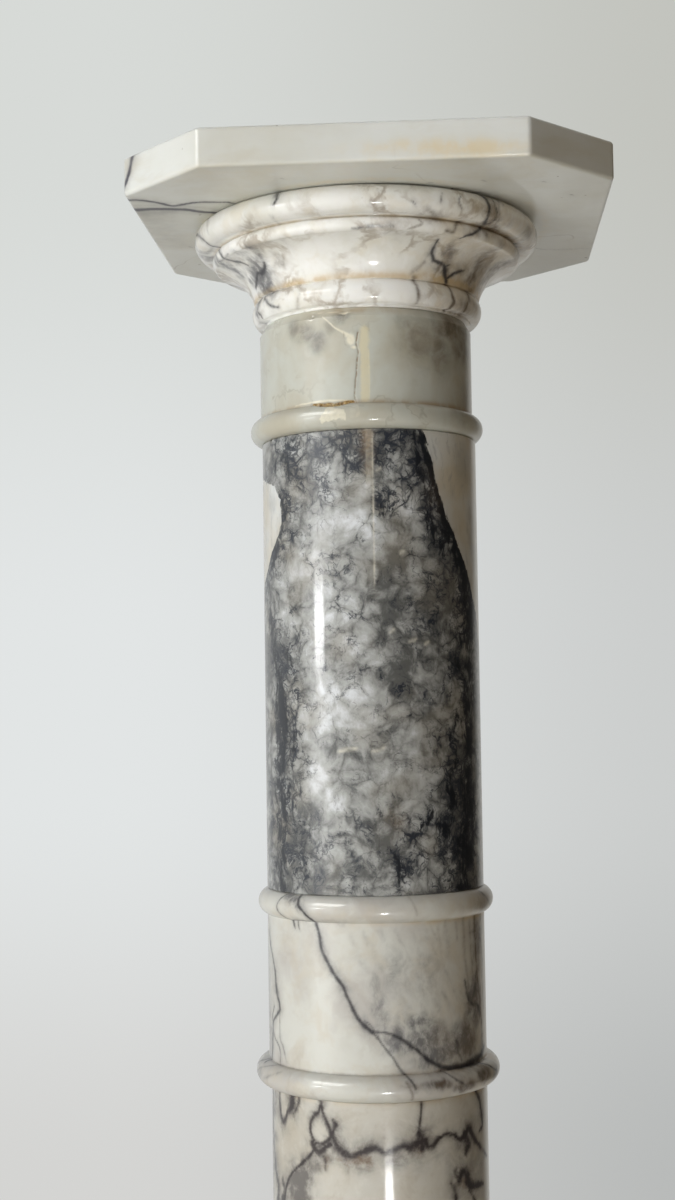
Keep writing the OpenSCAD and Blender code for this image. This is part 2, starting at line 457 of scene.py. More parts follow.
class Recipe(Mixer):
    """One marble's material, mixed from the place, fine noise and the measures that the points carry."""

    def __init__(self, name):
        self.material = bpy.data.materials.new(name)
        super().__init__(self.material)
        self.stone = self.node("ShaderNodeBsdfPrincipled")
        self.out = self.made("ShaderNodeOutputMaterial", self.stone.outputs[0])
        self.here = self.node("ShaderNodeTexCoord").outputs["Object"]

    def measure(self, name):
        """A measure that the stone's points carry."""
        return self.node("ShaderNodeAttribute", attribute_name=name).outputs["Fac"]

    def noise(self, size, detail=3.0, rough=0.5, at=None, output="Fac"):
        made = self.node("ShaderNodeTexNoise")
        self.feed(made.inputs["Vector"], at or self.here)
        made.inputs["Scale"].default_value = 1 / size
        made.inputs["Detail"].default_value = detail
        made.inputs["Roughness"].default_value = rough
        return made.outputs[output]

    def cells(self, size, at, feature="DISTANCE_TO_EDGE"):
        made = self.node("ShaderNodeTexVoronoi", feature=feature)
        self.feed(made.inputs["Vector"], at)
        made.inputs["Scale"].default_value = 1 / size
        return made.outputs["Distance"]

    def place(self, operation, *vectors):
        return self.made("ShaderNodeVectorMath", *vectors, operation=operation).outputs[0]

    def shaken(self, amount, size, at=None, detail=3.0):
        """The place, moved about by up to half of amount by noise."""
        away = self.noise(size, detail, 0.5, at, "Color")
        return self.place("MULTIPLY_ADD", away, (amount,) * 3, at or self.here)

    def stretched(self, shares, at=None):
        return self.place("MULTIPLY", at or self.here, shares)

    def ridge(self, size, detail, rough, at=None):
        """How far noise is from its middle value: 0 along thin winding lines."""
        return self.math("ABSOLUTE", self.math("SUBTRACT", self.noise(size, detail, rough, at), 0.5))

    def wisps(self, size, thin, at=None, detail=4.0):
        """Thin winding lines, 1 along their middle: where noise crosses its middle value."""
        return self.span(self.ridge(size, detail, 0.55, at), 0.0, thin, 1.0, 0.0)

    def patchy(self, name, noise, low, high, bottom, top):
        """A measure made uneven by noise: it is multiplied by a smooth step of the noise."""
        return self.times(self.measure(name), self.span(noise, low, high, bottom, top))

    def drawn(self, name, edge, rim, *fray):
        """A measure sharpened to a line with a frayed edge: a smooth step, over the span `edge`, of the
        measure with the fraying noises added. A second step, over the span `rim`, keeps it to where the
        measure is."""
        field = self.span(self.total((1.0, self.measure(name)), *fray), *edge)
        return self.times(field, self.span(self.measure(name), *rim))

    def finish(self, colour, gloss, relief, height=0.00004, coat=0.7):
        """Sets the colour, the roughness under the polish and the fine relief, and the constant parts."""
        stone = self.stone.inputs
        self.feed(stone["Base Color"], colour)
        self.feed(stone["Roughness"], gloss)
        bump = self.node("ShaderNodeBump")
        bump.inputs["Strength"].default_value = 1.0
        bump.inputs["Distance"].default_value = height
        self.feed(bump.inputs["Height"], relief)
        self.feed(stone["Normal"], bump.outputs[0])
        stone["IOR"].default_value = 1.5
        stone["Specular IOR Level"].default_value = 0.35
        stone["Coat Weight"].default_value = coat
        stone["Coat Roughness"].default_value = 0.1
        stone["Coat IOR"].default_value = 1.5
        stone["Subsurface Weight"].default_value = 0.08
        stone["Subsurface Radius"].default_value = (1.0, 0.85, 0.6)
        stone["Subsurface Scale"].default_value = 0.004
        return self.material


def turning_lines(mix):
    """Fine level lines left by turning and polishing, a little uneven."""
    return mix.noise(0.0009, 2.0, 0.5, mix.stretched((0.03, 0.03, 1.0)))


def white_marble(name, body, cloudy, warm, vein, swirls):
    """Veined white marble: a pale body with swirling grey clouds and warm drifts, soft smoke, brown stain,
    dark veins drawn on the stone, dirt in the grooves, and painted shade on the side turned from the lamps."""
    mix = Recipe(name)
    loose = mix.shaken(0.016, 0.02)
    grain = mix.noise(0.0016, 4.0, 0.65)
    fray = mix.noise(0.0045, 5.0, 0.65)
    large = mix.noise(0.036, 5.0, 0.6, loose)
    colour = mix.blend(mix.span(large, 0.4, 0.66), body, cloudy)
    drift = mix.noise(0.02, 5.0, 0.6, mix.shaken(0.03, 0.024))
    colour = mix.tinted(colour, drift, 0.46, 0.7, 0.45, warm)
    swirl = mix.times(mix.wisps(0.026, 0.07, loose, 5.0), mix.span(mix.noise(0.03), 0.42, 0.66))
    colour = mix.blend(mix.times(swirl, swirls), colour, paint(150, 136, 118))
    streaks = mix.noise(0.0055, 6.0, 0.68, mix.stretched((1.0, 1.0, 0.65), loose))
    smoke = mix.times(mix.measure("smoke"), mix.total((-0.55, 1.0), (3.2, streaks)))
    colour = mix.tinted(colour, smoke, 0.04, 1.1, 0.86, paint(91, 91, 95))
    # amber and brown carry stains and dirt, and also painted shade on the side of a stone turned from the
    # lamps
    amber = mix.patchy("amber", mix.noise(0.012, 4.0, 0.6), 0.3, 0.62, 0.45, 1.1)
    colour = mix.tinted(colour, amber, 0.03, 1.0, 0.8, paint(196, 170, 124))
    brown = mix.times(mix.measure("brown"), mix.total((-0.6, 1.0), (1.6, fray), (1.8, streaks)))
    colour = mix.tinted(colour, brown, 0.05, 1.05, 0.88, paint(96, 82, 68))
    ink = mix.drawn("ink", (0.55, 1.5), (0.03, 0.2), (0.3, grain), (0.7, fray))
    colour = mix.blend(mix.times(ink, 0.92), colour, vein)
    gloss = mix.total((0.16, grain), (0.3, mix.measure("amber")), (0.3, 1.0))
    relief = mix.total((0.35, turning_lines(mix)), (0.5, mix.noise(0.004, 3.0, 0.6)), (-0.6, ink))
    return mix.finish(colour, gloss, relief)


def ivory_alabaster(name):
    """Ivory alabaster: waxy and faintly clouded, with straw-coloured drifts, specks and a few grey
    threads."""
    mix = Recipe(name)
    loose = mix.shaken(0.03, 0.05)
    grain = mix.noise(0.0014, 3.0, 0.6)
    clouds = mix.noise(0.06, 4.0, 0.5, loose)
    body = mix.blend(mix.span(clouds, 0.35, 0.7), paint(222, 225, 223), paint(211, 212, 205))
    drift = mix.noise(0.034, 5.0, 0.6, mix.stretched((0.5, 0.5, 2.0), loose))
    colour = mix.tinted(body, drift, 0.46, 0.72, 0.6, paint(206, 203, 190))
    # straw also carries the painted warm reflection on the top plate's front edge
    straw = mix.patchy("amber", mix.noise(0.01, 4.0, 0.6), 0.3, 0.7, 0.5, 1.1)
    colour = mix.tinted(colour, straw, 0.05, 1.1, 0.62, paint(222, 202, 158))
    # smoke also carries the painted shade under the right of the top plate
    smoke = mix.patchy("smoke", mix.noise(0.008, 4.0, 0.6), 0.2, 0.7, 0.6, 1.1)
    colour = mix.tinted(colour, smoke, 0.05, 1.2, 0.7, paint(150, 148, 146))
    threads = mix.times(mix.wisps(0.07, 0.012, loose, 3.0), mix.span(mix.noise(0.07), 0.52, 0.66))
    colour = mix.blend(mix.times(threads, 0.4), colour, paint(140, 130, 116))
    specks = mix.span(mix.cells(0.011, mix.shaken(0.004, 0.006), "F1"), 0.045, 0.09, 0.6, 0.0)
    specks = mix.times(specks, mix.span(mix.noise(0.03), 0.52, 0.6))
    colour = mix.blend(specks, colour, paint(112, 100, 84))
    ink = mix.drawn("ink", (0.45, 1.2), (0.03, 0.15), (0.3, grain), (0.4, mix.noise(0.0045, 4.0, 0.6)))
    colour = mix.blend(ink, colour, paint(74, 72, 80))
    gloss = mix.total((0.14, grain), (0.2, mix.measure("smoke")), (0.36, 1.0))
    relief = mix.total((0.3, grain), (0.7, mix.noise(0.006, 3.0, 0.55)))
    return mix.finish(colour, gloss, relief, height=0.00002, coat=0.55)


def mended_neck_marble():
    """Greenish grey-cream marble, clouded, with a chalky patch, a yellow filling, and a golden open
    cavity."""
    mix = Recipe("mended_green_grey_marble")
    loose = mix.shaken(0.014, 0.02)
    grain = mix.noise(0.0015, 3.0, 0.6)
    clouds = mix.noise(0.03, 4.0, 0.55, loose)
    body = mix.blend(mix.span(clouds, 0.35, 0.7), paint(193, 196, 189), paint(182, 178, 163))
    upright = mix.noise(0.012, 3.0, 0.5, mix.stretched((1.0, 1.0, 0.25), loose))
    colour = mix.tinted(body, upright, 0.5, 0.75, 0.35, paint(176, 172, 156))
    smoke = mix.patchy("smoke", mix.noise(0.009, 6.0, 0.66, loose), 0.2, 0.8, 0.4, 1.3)
    colour = mix.tinted(colour, smoke, 0.05, 1.1, 0.85, paint(112, 110, 104))
    # brown carries stains, and at the right under the capital painted shadow too
    brown = mix.patchy("brown", mix.noise(0.012, 6.0, 0.66, loose), 0.2, 0.8, 0.5, 1.25)
    colour = mix.tinted(colour, brown, 0.05, 1.1, 0.9, paint(84, 74, 60))
    lines = mix.times(mix.wisps(0.03, 0.02, loose), mix.span(mix.noise(0.04), 0.5, 0.7))
    colour = mix.blend(mix.times(lines, 0.3), colour, paint(120, 112, 96))
    chalk = mix.drawn("chalk", (0.55, 1.2), (0.05, 0.2), (0.5, mix.noise(0.0025, 4.0, 0.65)))
    colour = mix.blend(mix.times(chalk, 0.9), colour, paint(230, 226, 208))
    straw = mix.drawn("straw", (0.5, 1.0), (0.05, 0.2), (0.5, mix.noise(0.002, 4.0, 0.65)))
    colour = mix.blend(mix.times(straw, 0.5), colour, paint(224, 212, 172))
    crack = mix.patchy("ink", mix.noise(0.003, 3.0, 0.6), 0.3, 0.6, 0.5, 1.1)
    colour = mix.blend(mix.span(crack, 0.2, 0.9), colour, paint(132, 112, 86))
    hollow = mix.span(mix.total((1.0, mix.measure("cavity")), (0.4, mix.noise(0.0016, 4.0, 0.7))), 0.6, 0.9)
    flecks = mix.span(mix.noise(0.0015, 3.0, 0.7), 0.35, 0.65)
    gold = mix.blend(flecks, paint(196, 168, 104), paint(116, 88, 46))
    colour = mix.blend(hollow, colour, gold)
    # amber carries dirt, and painted shade on the right side too
    amber = mix.patchy("amber", mix.noise(0.01, 4.0, 0.6), 0.3, 0.62, 0.4, 1.1)
    colour = mix.tinted(colour, amber, 0.03, 1.0, 0.8, paint(160, 132, 92))
    dull = mix.total((0.3, chalk), (0.4, hollow), (0.14, grain), (0.16, straw), (0.34, 1.0))
    pits = mix.times(hollow, grain)
    crumbs = mix.times(chalk, mix.noise(0.002, 4.0, 0.6))
    swell = mix.noise(0.005, 3.0, 0.55)
    relief = mix.total((0.3, turning_lines(mix)), (0.5, swell), (2.0, pits), (1.6, crumbs))
    return mix.finish(colour, dull, relief)


def clouded_grey_marble():
    """Grey marble: cream stone beside a mass of pale puffs, parted by a blue-black net that closes up where
    it is dense, with nearly black streaked bands."""
    mix = Recipe("clouded_grey_marble")
    loose = mix.shaken(0.012, 0.017)
    ragged = mix.shaken(0.0044, 0.0052, loose, 2.5)
    grain = mix.noise(0.0012, 4.0, 0.7)
    streaks = mix.noise(0.003, 5.0, 0.65, mix.stretched((1.0, 1.0, 0.17), loose))
    wide_cells = mix.cells(0.0098, ragged)
    narrow_cells = mix.cells(0.0047, ragged)
    wide_ridge = mix.ridge(0.013, 6.0, 0.6, loose)
    fine_ridge = mix.ridge(0.006, 5.0, 0.62, loose)
    blotch = mix.noise(0.012, 6.0, 0.66, loose)
    net, ink = mix.measure("net"), mix.measure("ink")
    crowd = mix.total((0.58, net), (0.42, ink), (2.4, blotch), (0.9, streaks), (-1.64, 1.0))
    puffs = mix.noise(0.02, 6.0, 0.64, loose)
    curls = mix.noise(0.0075, 4.0, 0.6, ragged)
    tone = mix.total((1.5, puffs), (0.5, curls), (0.7, wide_cells), (0.42, mix.measure("pale")),
                     (-0.2, mix.measure("smoke")), (-0.12, crowd), (0.22, grain), (-0.87, 1.0))
    colour = mix.blend(mix.span(tone, 0.05, 0.52), paint(92, 93, 92), paint(164, 166, 165))
    colour = mix.blend(mix.span(tone, 0.42, 1.0), colour, paint(220, 224, 229))
    colour = mix.tinted(colour, mix.noise(0.028, 3.0, 0.5), 0.45, 0.7, 0.32, paint(146, 138, 122))

    def closing(field, share, low, high, top):
        """Lines along the field's low places, wider where the net crowds together."""
        return mix.span(mix.total((1.0, field), (-share, crowd)), low, high, top, 0.0)

    here_and_there = mix.span(mix.noise(0.009, 3.0, 0.5), 0.4, 0.62, 0.25, 1.0)
    rims = mix.times(closing(wide_cells, 0.08, -0.02, 0.05, 1.0), here_and_there)
    lines = mix.larger(rims, closing(wide_ridge, 0.02, -0.006, 0.022, 1.0))
    narrow_rims = closing(narrow_cells, 0.09, -0.03, 0.06, 0.9)
    threads = mix.larger(narrow_rims, closing(fine_ridge, 0.018, -0.012, 0.024, 0.9))
    lines = mix.times(lines, mix.span(crowd, -0.25, 0.6, 0.02, 0.96))
    dark_net = mix.larger(lines, mix.times(threads, mix.span(crowd, 0.0, 0.9, 0.04, 0.96)))
    colour = mix.blend(dark_net, colour, paint(36, 41, 52))
    band = mix.total((1.1, ink), (2.1, blotch), (3.0, streaks), (0.6, grain), (-3.52, 1.0))
    band = mix.span(band, -0.12, 0.5)
    colour = mix.blend(mix.times(band, 0.93), colour, paint(19, 23, 31))

    cream = mix.noise(0.04, 4.0, 0.5, loose)
    plain = mix.blend(mix.span(cream, 0.35, 0.7), paint(216, 220, 221), paint(204, 196, 178))
    plain = mix.blend(mix.times(mix.span(streaks, 0.5, 0.8), 0.6), plain, paint(138, 141, 143))
    plain = mix.tinted(plain, mix.measure("smoke"), 0.1, 1.0, 0.7, paint(120, 122, 124))
    beside = mix.total((1.0, mix.measure("plain")), (0.3, mix.noise(0.003, 4.0, 0.6)), (-0.15, 1.0))
    beside = mix.times(mix.span(beside, 0.42, 0.58), mix.span(band, 0.1, 0.7, 1.0, 0.0))
    colour = mix.blend(beside, colour, plain)
    seam = mix.patchy("seam", mix.noise(0.004, 3.0, 0.6), 0.3, 0.6, 0.4, 0.85)
    colour = mix.blend(seam, colour, paint(226, 222, 208))
    amber = mix.patchy("amber", mix.noise(0.003, 4.0, 0.6), 0.3, 0.65, 0.3, 1.1)
    colour = mix.blend(mix.times(amber, 0.5), colour, paint(170, 140, 102))
    gloss = mix.total((0.2, grain), (0.28, 1.0))
    relief = mix.total((1.0, turning_lines(mix)), (0.3, mix.noise(0.004, 3.0, 0.6)), (-0.12, dark_net))
    return mix.finish(colour, gloss, relief, coat=0.85)


def brown_veined_cream():
    """Cream marble with faint curds, and brown-black veins that thicken to knots and bleed downwards. A net
    of veins that isn't drawn fills the hidden back."""
    mix = Recipe("brown_veined_cream_marble")
    loose = mix.shaken(0.02, 0.03)
    ragged = mix.shaken(0.003, 0.004, loose)
    grain = mix.noise(0.0015, 3.0, 0.6)
    clouds = mix.noise(0.05, 4.0, 0.55, loose)
    colour = mix.blend(mix.span(clouds, 0.35, 0.7), paint(199, 197, 190), paint(187, 181, 168))
    curds = mix.noise(0.013, 6.0, 0.62, loose)
    colour = mix.tinted(colour, curds, 0.48, 0.72, 0.6, paint(212, 211, 205))
    colour = mix.blend(mix.span(curds, 0.28, 0.46, 0.4, 0.0), colour, paint(170, 161, 147))
    far = mix.patchy("wild", mix.noise(0.06, 3.0, 0.5), 0.35, 0.65, 0.2, 1.2)
    gaps = mix.cells(0.05, mix.shaken(0.005, 0.006, mix.shaken(0.05, 0.045, None, 4.0)))
    thick = mix.times(far, mix.noise(0.012, 4.0, 0.6))
    net = mix.span(mix.total((0.22, thick), (-1.6, gaps)), 0.0, 0.12)
    broad = mix.times(far, mix.noise(0.02, 4.0, 0.6))
    halo = mix.span(mix.total((0.42, broad), (-0.9, gaps)), 0.0, 0.25, 0.0, 0.45)
    colour = mix.blend(halo, colour, paint(136, 128, 120))
    smoke = mix.patchy("smoke", mix.noise(0.009, 6.0, 0.68, ragged), 0.25, 0.78, 0.4, 1.4)
    colour = mix.tinted(colour, smoke, 0.0, 1.2, 0.9, paint(92, 88, 86))
    brown = mix.patchy("brown", mix.noise(0.005, 6.0, 0.68), 0.28, 0.68, 0.1, 1.6)
    colour = mix.tinted(colour, brown, 0.05, 1.1, 0.85, paint(112, 92, 74))
    # amber carries stains, and painted shade on the right side of the stone too
    amber = mix.patchy("amber", mix.noise(0.01, 4.0, 0.6), 0.3, 0.62, 0.4, 1.1)
    colour = mix.tinted(colour, amber, 0.03, 1.0, 0.8, paint(190, 160, 112))
    fray = mix.noise(0.0042, 6.0, 0.68, ragged)
    ink = mix.drawn("ink", (0.75, 1.7), (0.03, 0.15), (0.4, grain), (1.1, fray))
    ink = mix.larger(ink, net)
    colour = mix.blend(ink, colour, paint(50, 42, 42))
    gloss = mix.total((0.16, grain), (0.3, 1.0))
    relief = mix.total((0.4, turning_lines(mix)), (0.5, mix.noise(0.004, 3.0, 0.6)), (-0.5, ink))
    return mix.finish(colour, gloss, relief, coat=0.8)


# ---------------------------------------------------------------- top plate and plinth

def make_top_plate(marble):
    faces = np.concatenate([[0.05, 0.25, 0.45, 0.6], np.linspace(0.68, 1, 34)])
    plate = eight_sided_stone("top_plate", clip=45, edge=2, corner=4, face_rows=faces)
    x, y, z = plate.spots.T
    under, top = z.min(), z.max()
    # the dark veins of the underside and the left edge
    plate.line("ink", [
        (-124, -75, under, 1.3), (-118, -76, under, 1.2), (-108, -70, under, 1.2), (-101, -63, under, 1.3),
        (-94, -65, under, 1.2), (-85, -68, under, 1), (-70, -66, under, 0.7),
    ], 1, bleed=0.8)
    plate.line("ink", [
        (-124, -57, under, 2.2), (-115, -58, under, 1.8), (-105, -57, under, 1.7), (-95, -55, under, 1.6),
        (-88, -51, under, 1.4), (-76, -46, under, 1.1),
    ], 1.15, bleed=0.8)
    plate.line("smoke", [
        (-124, -66, under, 5), (-108, -63, under, 5), (-92, -59, under, 5), (-78, -54, under, 4),
    ], 0.7)
    plate.line("ink", [
        (-123.5, -60, under + 1, 1), (-123.5, -61, under + 9, 0.8), (-123.5, -66, top - 6, 0.6),
    ], 0.8)
    plate.line("ink", [
        (-118, -89, top + 1, 1.6), (-119, -88, top - 4, 1.2), (-120, -87, top - 8, 1.2),
        (-121.5, -85, top - 12, 1), (-122.5, -81, under + 3, 0.9),
    ], 1.1, bleed=0.8)
    # thin ones at the right and behind
    plate.line("ink", [
        (84, 20, under, 0.4), (100, 48, under, 0.6), (114, 52, under, 0.5), (131, 51, under, 0.4),
    ], 0.4)
    plate.line("ink", [
        (40, 128, under, 0.8), (30, 118, under, 0.9), (8, 112, under, 0.7), (-20, 100, under, 0.6),
    ], 0.6)
    plate.line("ink", [(132, 40, under + 2, 0.7), (132, 46, under + 9, 0.8), (132, 58, top - 2, 0.6)], 0.6)
    # faint ones across the top
    for path in ([(-60, -100), (-30, -40), (10, -5), (52, 22), (80, 70)],
                 [(-20, -30), (-48, 10), (-60, 60), (-90, 84)],
                 [(132, -30), (104, -20), (70, -34), (52, -62)]):
        plate.line("ink", [(a, b, top, 0.7) for a, b in path], 0.5)
    # specks on the underside
    spots = [(-38, -105), (38, -90), (65, -90), (112, -60), (96, -84), (-104, 20), (-88, 74)]
    for a, b in spots:
        plate.line("ink", [(a, b, under, 0.9), (a + 1.5, b + 2, under, 0.5)], 0.5)
    # grey at the left of the underside, and grey under its right that is painted shade; a straw patch on the
    # front edge, partly a painted warm reflection; amber round the capital and under the front
    below = ramp(-z, -under - 2, -under)
    side_grey = ramp(-x, 90, 112) * ramp(y, -60, -50) * ramp(-y, -40, -10) * below
    plate.add("smoke", 0.55 * side_grey + 0.3 * below * ramp(x, 70, 130))
    front = ramp(-y, 126, 127.8)
    # the straw patch is partly stain and partly a painted warm reflection
    straw = front * np.exp(-(((x - 38) / 46) ** 2 + ((z - under - 6) / 6) ** 2))
    straw += 0.6 * front * np.exp(-(((x - 66) / 20) ** 2 + ((z - under - 4) / 4) ** 2))
    ring = hump(np.hypot(x - 4.8, y), 97, 5) * below
    plate.add("amber", 0.8 * straw + 0.5 * ring + 0.35 * below * ramp(-y, 84, 120))
    return plate.build("ivory_alabaster", marble)


def make_plinth(marble):
    faces = np.array([0.05, 0.3, 0.55, 0.76, 0.85, 0.92, 0.97, 1])
    plinth = eight_sided_stone("plinth", clip=50, edge=3, corner=3, face_rows=faces)
    x, y, z = plinth.spots.T
    for path in ([(-60, -141, 41), (-52, -141, 26), (-40, -141, 12), (-30, -141, -1)],
                 [(96, -141, 41), (88, -141, 30), (92, -141, 16), (78, -141, -1)],
                 [(141, 30, 41), (141, 22, 24), (141, -4, 12), (141, -20, -1)],
                 [(-141, -10, 41), (-141, 4, 22), (-141, 12, -1)],
                 [(20, 141, 41), (34, 141, 22), (30, 141, -1)]):
        plinth.line("ink", [(*p, 0.9) for p in path], 0.7)
    # chips where the edges are, and dirt near the floor
    chips = ramp(soft_noise(plinth.spots, 6, 3, 2), 0.3, 0.6)
    corner = np.abs(plinth.normals[:, 2] * np.hypot(plinth.normals[:, 0], plinth.normals[:, 1]))
    plinth.depth += 0.8 * chips * ramp(corner, 0.1, 0.45)
    plinth.add("amber", 0.5 * hump(z, 0, 5))
    return plinth.build("ivory_alabaster", marble)


# ---------------------------------------------------------------- capital

def make_capital(marble):
    side = np.vstack([
        straight([(58.5, 0), (58.5, 1.3)], 0.6),
        swelling(64.8, 61.8, 12.9, 1.3, 26),
        dipping((63.6, 14.2), (83.6, 33.9), 4, 44),
        swelling(87, 84.4, 7.7, 33.9, 16),
        swelling(97, 84.4, 14.9, 41.6, 40),
    ])
    capital = turned_stone("capital", side, FRONT_AND_BACK, by_height=False)
    line = capital.line
    # the left part, from the torus down
    line("ink", [(-27, 90, 1), (-26.5, 86, 1.1), (-26, 81, 0.9), (-27, 77.5, 0.5)], 0.95)
    line("smoke", [(-28.5, 72, 1.2), (-29, 66, 1), (-30, 61, 0.9)], 0.5)
    line("ink", [
        (-96, 87, 0.8), (-88, 85.5, 1), (-80, 82, 1), (-73, 79, 0.9), (-68, 75.5, 0.8), (-66.5, 72, 0.7),
        (-67.5, 68, 0.7), (-69, 63, 0.9), (-68, 60, 0.9), (-65.5, 57.5, 0.8), (-64, 54, 1),
    ], 0.9)
    line("ink", [(-64, 54, 1), (-65, 50, 1.2), (-64, 46, 1.3), (-61, 43, 1), (-59, 40, 0.7)], 0.9)
    line("ink", [(-70, 52, 0.7), (-65, 51.5, 0.9), (-59, 52.5, 0.6)], 0.6)
    line("smoke", [(-62, 84, 1), (-60, 80, 1.2), (-61, 74, 0.9)], 0.5)
    line("smoke", [(-78, 78, 2.5), (-80, 72, 3), (-74, 66, 2.5), (-66, 64, 1.5)], 0.6)
    line("smoke", [(-46, 52, 2), (-46, 45, 2.5), (-48, 38, 2)], 0.7)
    line("ink", [
        (-47.5, 37, 0.8), (-50, 34, 1.4), (-54, 32, 1.8), (-57, 33, 1.2), (-60, 31, 1.2), (-64, 28.5, 1.3),
        (-67, 27, 0.7),
    ], 0.95)
    line("ink", [(-56, 32, 2.4), (-57, 28, 3), (-56, 24, 2.4), (-52, 20.5, 1.4)], 0.62)
    line("ink", [
        (-62, 20, 0.6), (-59, 16, 0.8), (-56, 14, 0.9), (-54, 12, 0.8), (-51, 10, 0.8), (-46, 8.4, 0.4),
    ], 0.9)
    line("ink", [(-66, 9.5, 0.8), (-64, 8, 1.1), (-64.5, 6, 0.6)], 0.8)
    line("smoke", [(-70, 20, 2), (-66, 15, 2.5), (-68, 8, 3)], 0.6)
    # clouds and stains
    capital.blot("smoke", [
        (-57, 33, 7, 5, 1), (-56, 25, 5, 6, 1), (-66, 30, 8, 4, 0.7), (-80, 80, 9, 5, 0.7),
        (-66, 18, 5, 5, 0.8), (-70, 8, 6, 5, 0.8), (-84, 62, 8, 6, 0.7), (40, 40, 4, 6, 0.7),
        (43, 27, 4, 4, 0.8), (46, 78, 5, 6, 0.8), (50, 84, 6, 4, 0.6), (62, 42, 7, 9, 0.5),
        (72, 70, 8, 8, 0.5), (28, 70, 6, 3, 0.4),
    ], waves=4)
    capital.blot("smoke", [
        (-55, 32, 12, 8, 1.2), (-54, 24, 9, 7, 1.1), (-72, 46, 8, 8, 0.8), (40, 34, 6, 8, 0.8),
        (48, 74, 7, 8, 0.8),
    ], waves=5)
    capital.blot("ink", [
        (-55, 30, 7, 6, 0.5), (-58, 24, 5, 5, 0.42), (-66, 14, 5, 4, 0.42), (43, 27, 4, 5, 0.48),
        (46, 80, 3, 5, 0.42), (-86, 84, 6, 4, 0.4),
    ], waves=5)
    capital.blot("brown", [
        (-44, 46, 5, 6, 0.4), (-30, 50, 6, 3, 0.3), (6, 74, 10, 3, 0.3), (24, 66, 9, 3, 0.45),
        (-16, 68, 9, 3, 0.3), (52, 60, 8, 4, 0.5), (64, 30, 9, 8, 0.45), (-38, 36, 5, 4, 0.5),
        (12, 52, 12, 3, 0.35), (60, 8, 10, 4, 0.4), (-40, 62, 8, 2.5, 0.4), (80, 40, 8, 12, 0.5),
    ], waves=5)
    line("brown", [(-37, 39, 1.2), (-40, 36, 1.5), (-43, 33, 1.3)], 0.35)
    line("brown", [(-31.5, 12, 1.2), (-33, 8, 1.6), (-35, 4, 1.4)], 0.42)
    # the right part, from the torus down
    line("ink", [
        (41, 90, 1), (42, 87, 1.2), (44, 83, 1.3), (45, 79, 1.2), (45.5, 74, 1), (46.5, 69, 0.9),
        (48, 65, 1), (49, 61, 1), (47, 58, 0.9), (44, 55, 0.8), (41, 53, 0.8), (40, 50, 0.5),
    ], 1)
    line("ink", [(48, 88, 0.5), (48, 80, 0.7), (49.5, 74, 0.7), (48, 68, 0.5)], 0.7)
    line("ink", [(51, 86, 0.4), (50, 79, 0.5), (51, 72, 0.4)], 0.5)
    line("smoke", [(44, 86, 3), (46, 76, 3.5), (47, 66, 3)], 0.6)
    for spot in ([(27, 81), (26.5, 76)], [(34, 81), (33, 78), (34.5, 74)], [(17, 75), (18, 73.5)],
                 [(53, 83), (52, 81)]):
        line("ink", [(*p, 0.5) for p in spot], 0.6)
    line("brown", [(21.5, 58, 0.5), (22.5, 56, 0.6), (18, 53, 0.6)], 0.8)
    line("brown", [(38, 62, 1.2), (36, 57, 0.8), (35, 53.5, 0.9), (32, 54, 0.6)], 0.6)
    line("smoke", [(-2, 53, 0.8), (4, 54, 1), (12, 54, 0.8)], 0.7)
    line("ink", [
        (31.5, 46, 0.4), (32, 41, 0.6), (32, 37, 0.8), (33.5, 33.5, 0.8), (35, 32, 0.8), (39, 31, 1),
        (42, 29, 1.2), (43, 26, 1.3), (45, 22, 1),
    ], 1.1)
    line("ink", [(42, 29.5, 0.7), (44, 31.5, 0.5)], 0.9)
    line("ink", [(45, 23.5, 0.8), (48, 27, 0.9), (51, 28.5, 0.9), (55, 30.5, 0.6)], 1.05)
    line("smoke", [(39, 50, 2), (39, 44, 2.2), (40, 37, 1.8)], 0.6)
    line("brown", [(30, 31, 1), (27, 27, 1.4), (24, 24, 1.2)], 0.45)
    line("brown", [
        (45, 21, 1), (47.5, 17, 0.9), (48.5, 12, 0.9), (50, 9, 0.9), (49, 5, 0.9), (48, 1.5, 0.9),
    ], 0.85)
    line("brown", [(26, 22, 1.4), (26, 18, 1.3), (27, 14, 1), (28, 10, 0.9), (28, 4, 0.8)], 0.6)
    line("brown", [(68, 22, 1.6), (64, 18, 1.6), (62, 12, 1.3), (61, 6, 1.2)], 0.65)
    line("smoke", [(80, 78, 2), (84, 70, 2), (85, 66, 1.5)], 0.5)
    # the hidden back
    for turn in (118, 163, 214, 246):
        line("ink", [
            (turn, 88, 1), (turn + 5, 78, 1.1), (turn + 2, 66, 0.8), (turn + 9, 57, 0.9),
            (turn + 6, 46, 1.3), (turn + 12, 34, 0.9), (turn + 8, 22, 1.2), (turn + 14, 10, 0.6),
        ], 0.85)
        line("ink", [(turn + 6, 44, 0.8), (turn - 4, 36, 1), (turn - 9, 26, 0.6)], 0.8)
        line("smoke", [(turn + 4, 60, 4), (turn - 3, 38, 5)], 0.5)
    degrees, along = capital.degrees, capital.along
    # dirt in the grooves; a browner right side and a darker groove at the right, partly stain and partly
    # painted shade on the side turned from the lamps
    grooves = hump(along, 61.2, 2) + hump(along, 21.3, 2.6) + hump(along, 89.8, 2.2)
    pale_hollow = 0.75 * hump(along, 24, 3.2) * ramp(degrees, -50, -20)
    right = 0.4 * ramp(degrees, 10, 45) * ramp(-degrees, -120, -90)
    capital.add("amber", 0.62 * grooves + 0.3 * pale_hollow + right)
    capital.add("brown", 0.5 * hump(along, 61.2, 1.6) * ramp(degrees, 44, 60) + 0.5 * right)
    capital.wear([0.4], 0.9, 0.4, 6, 0.25)
    return capital.build("veined_white_marble", marble)


# ---------------------------------------------------------------- neck

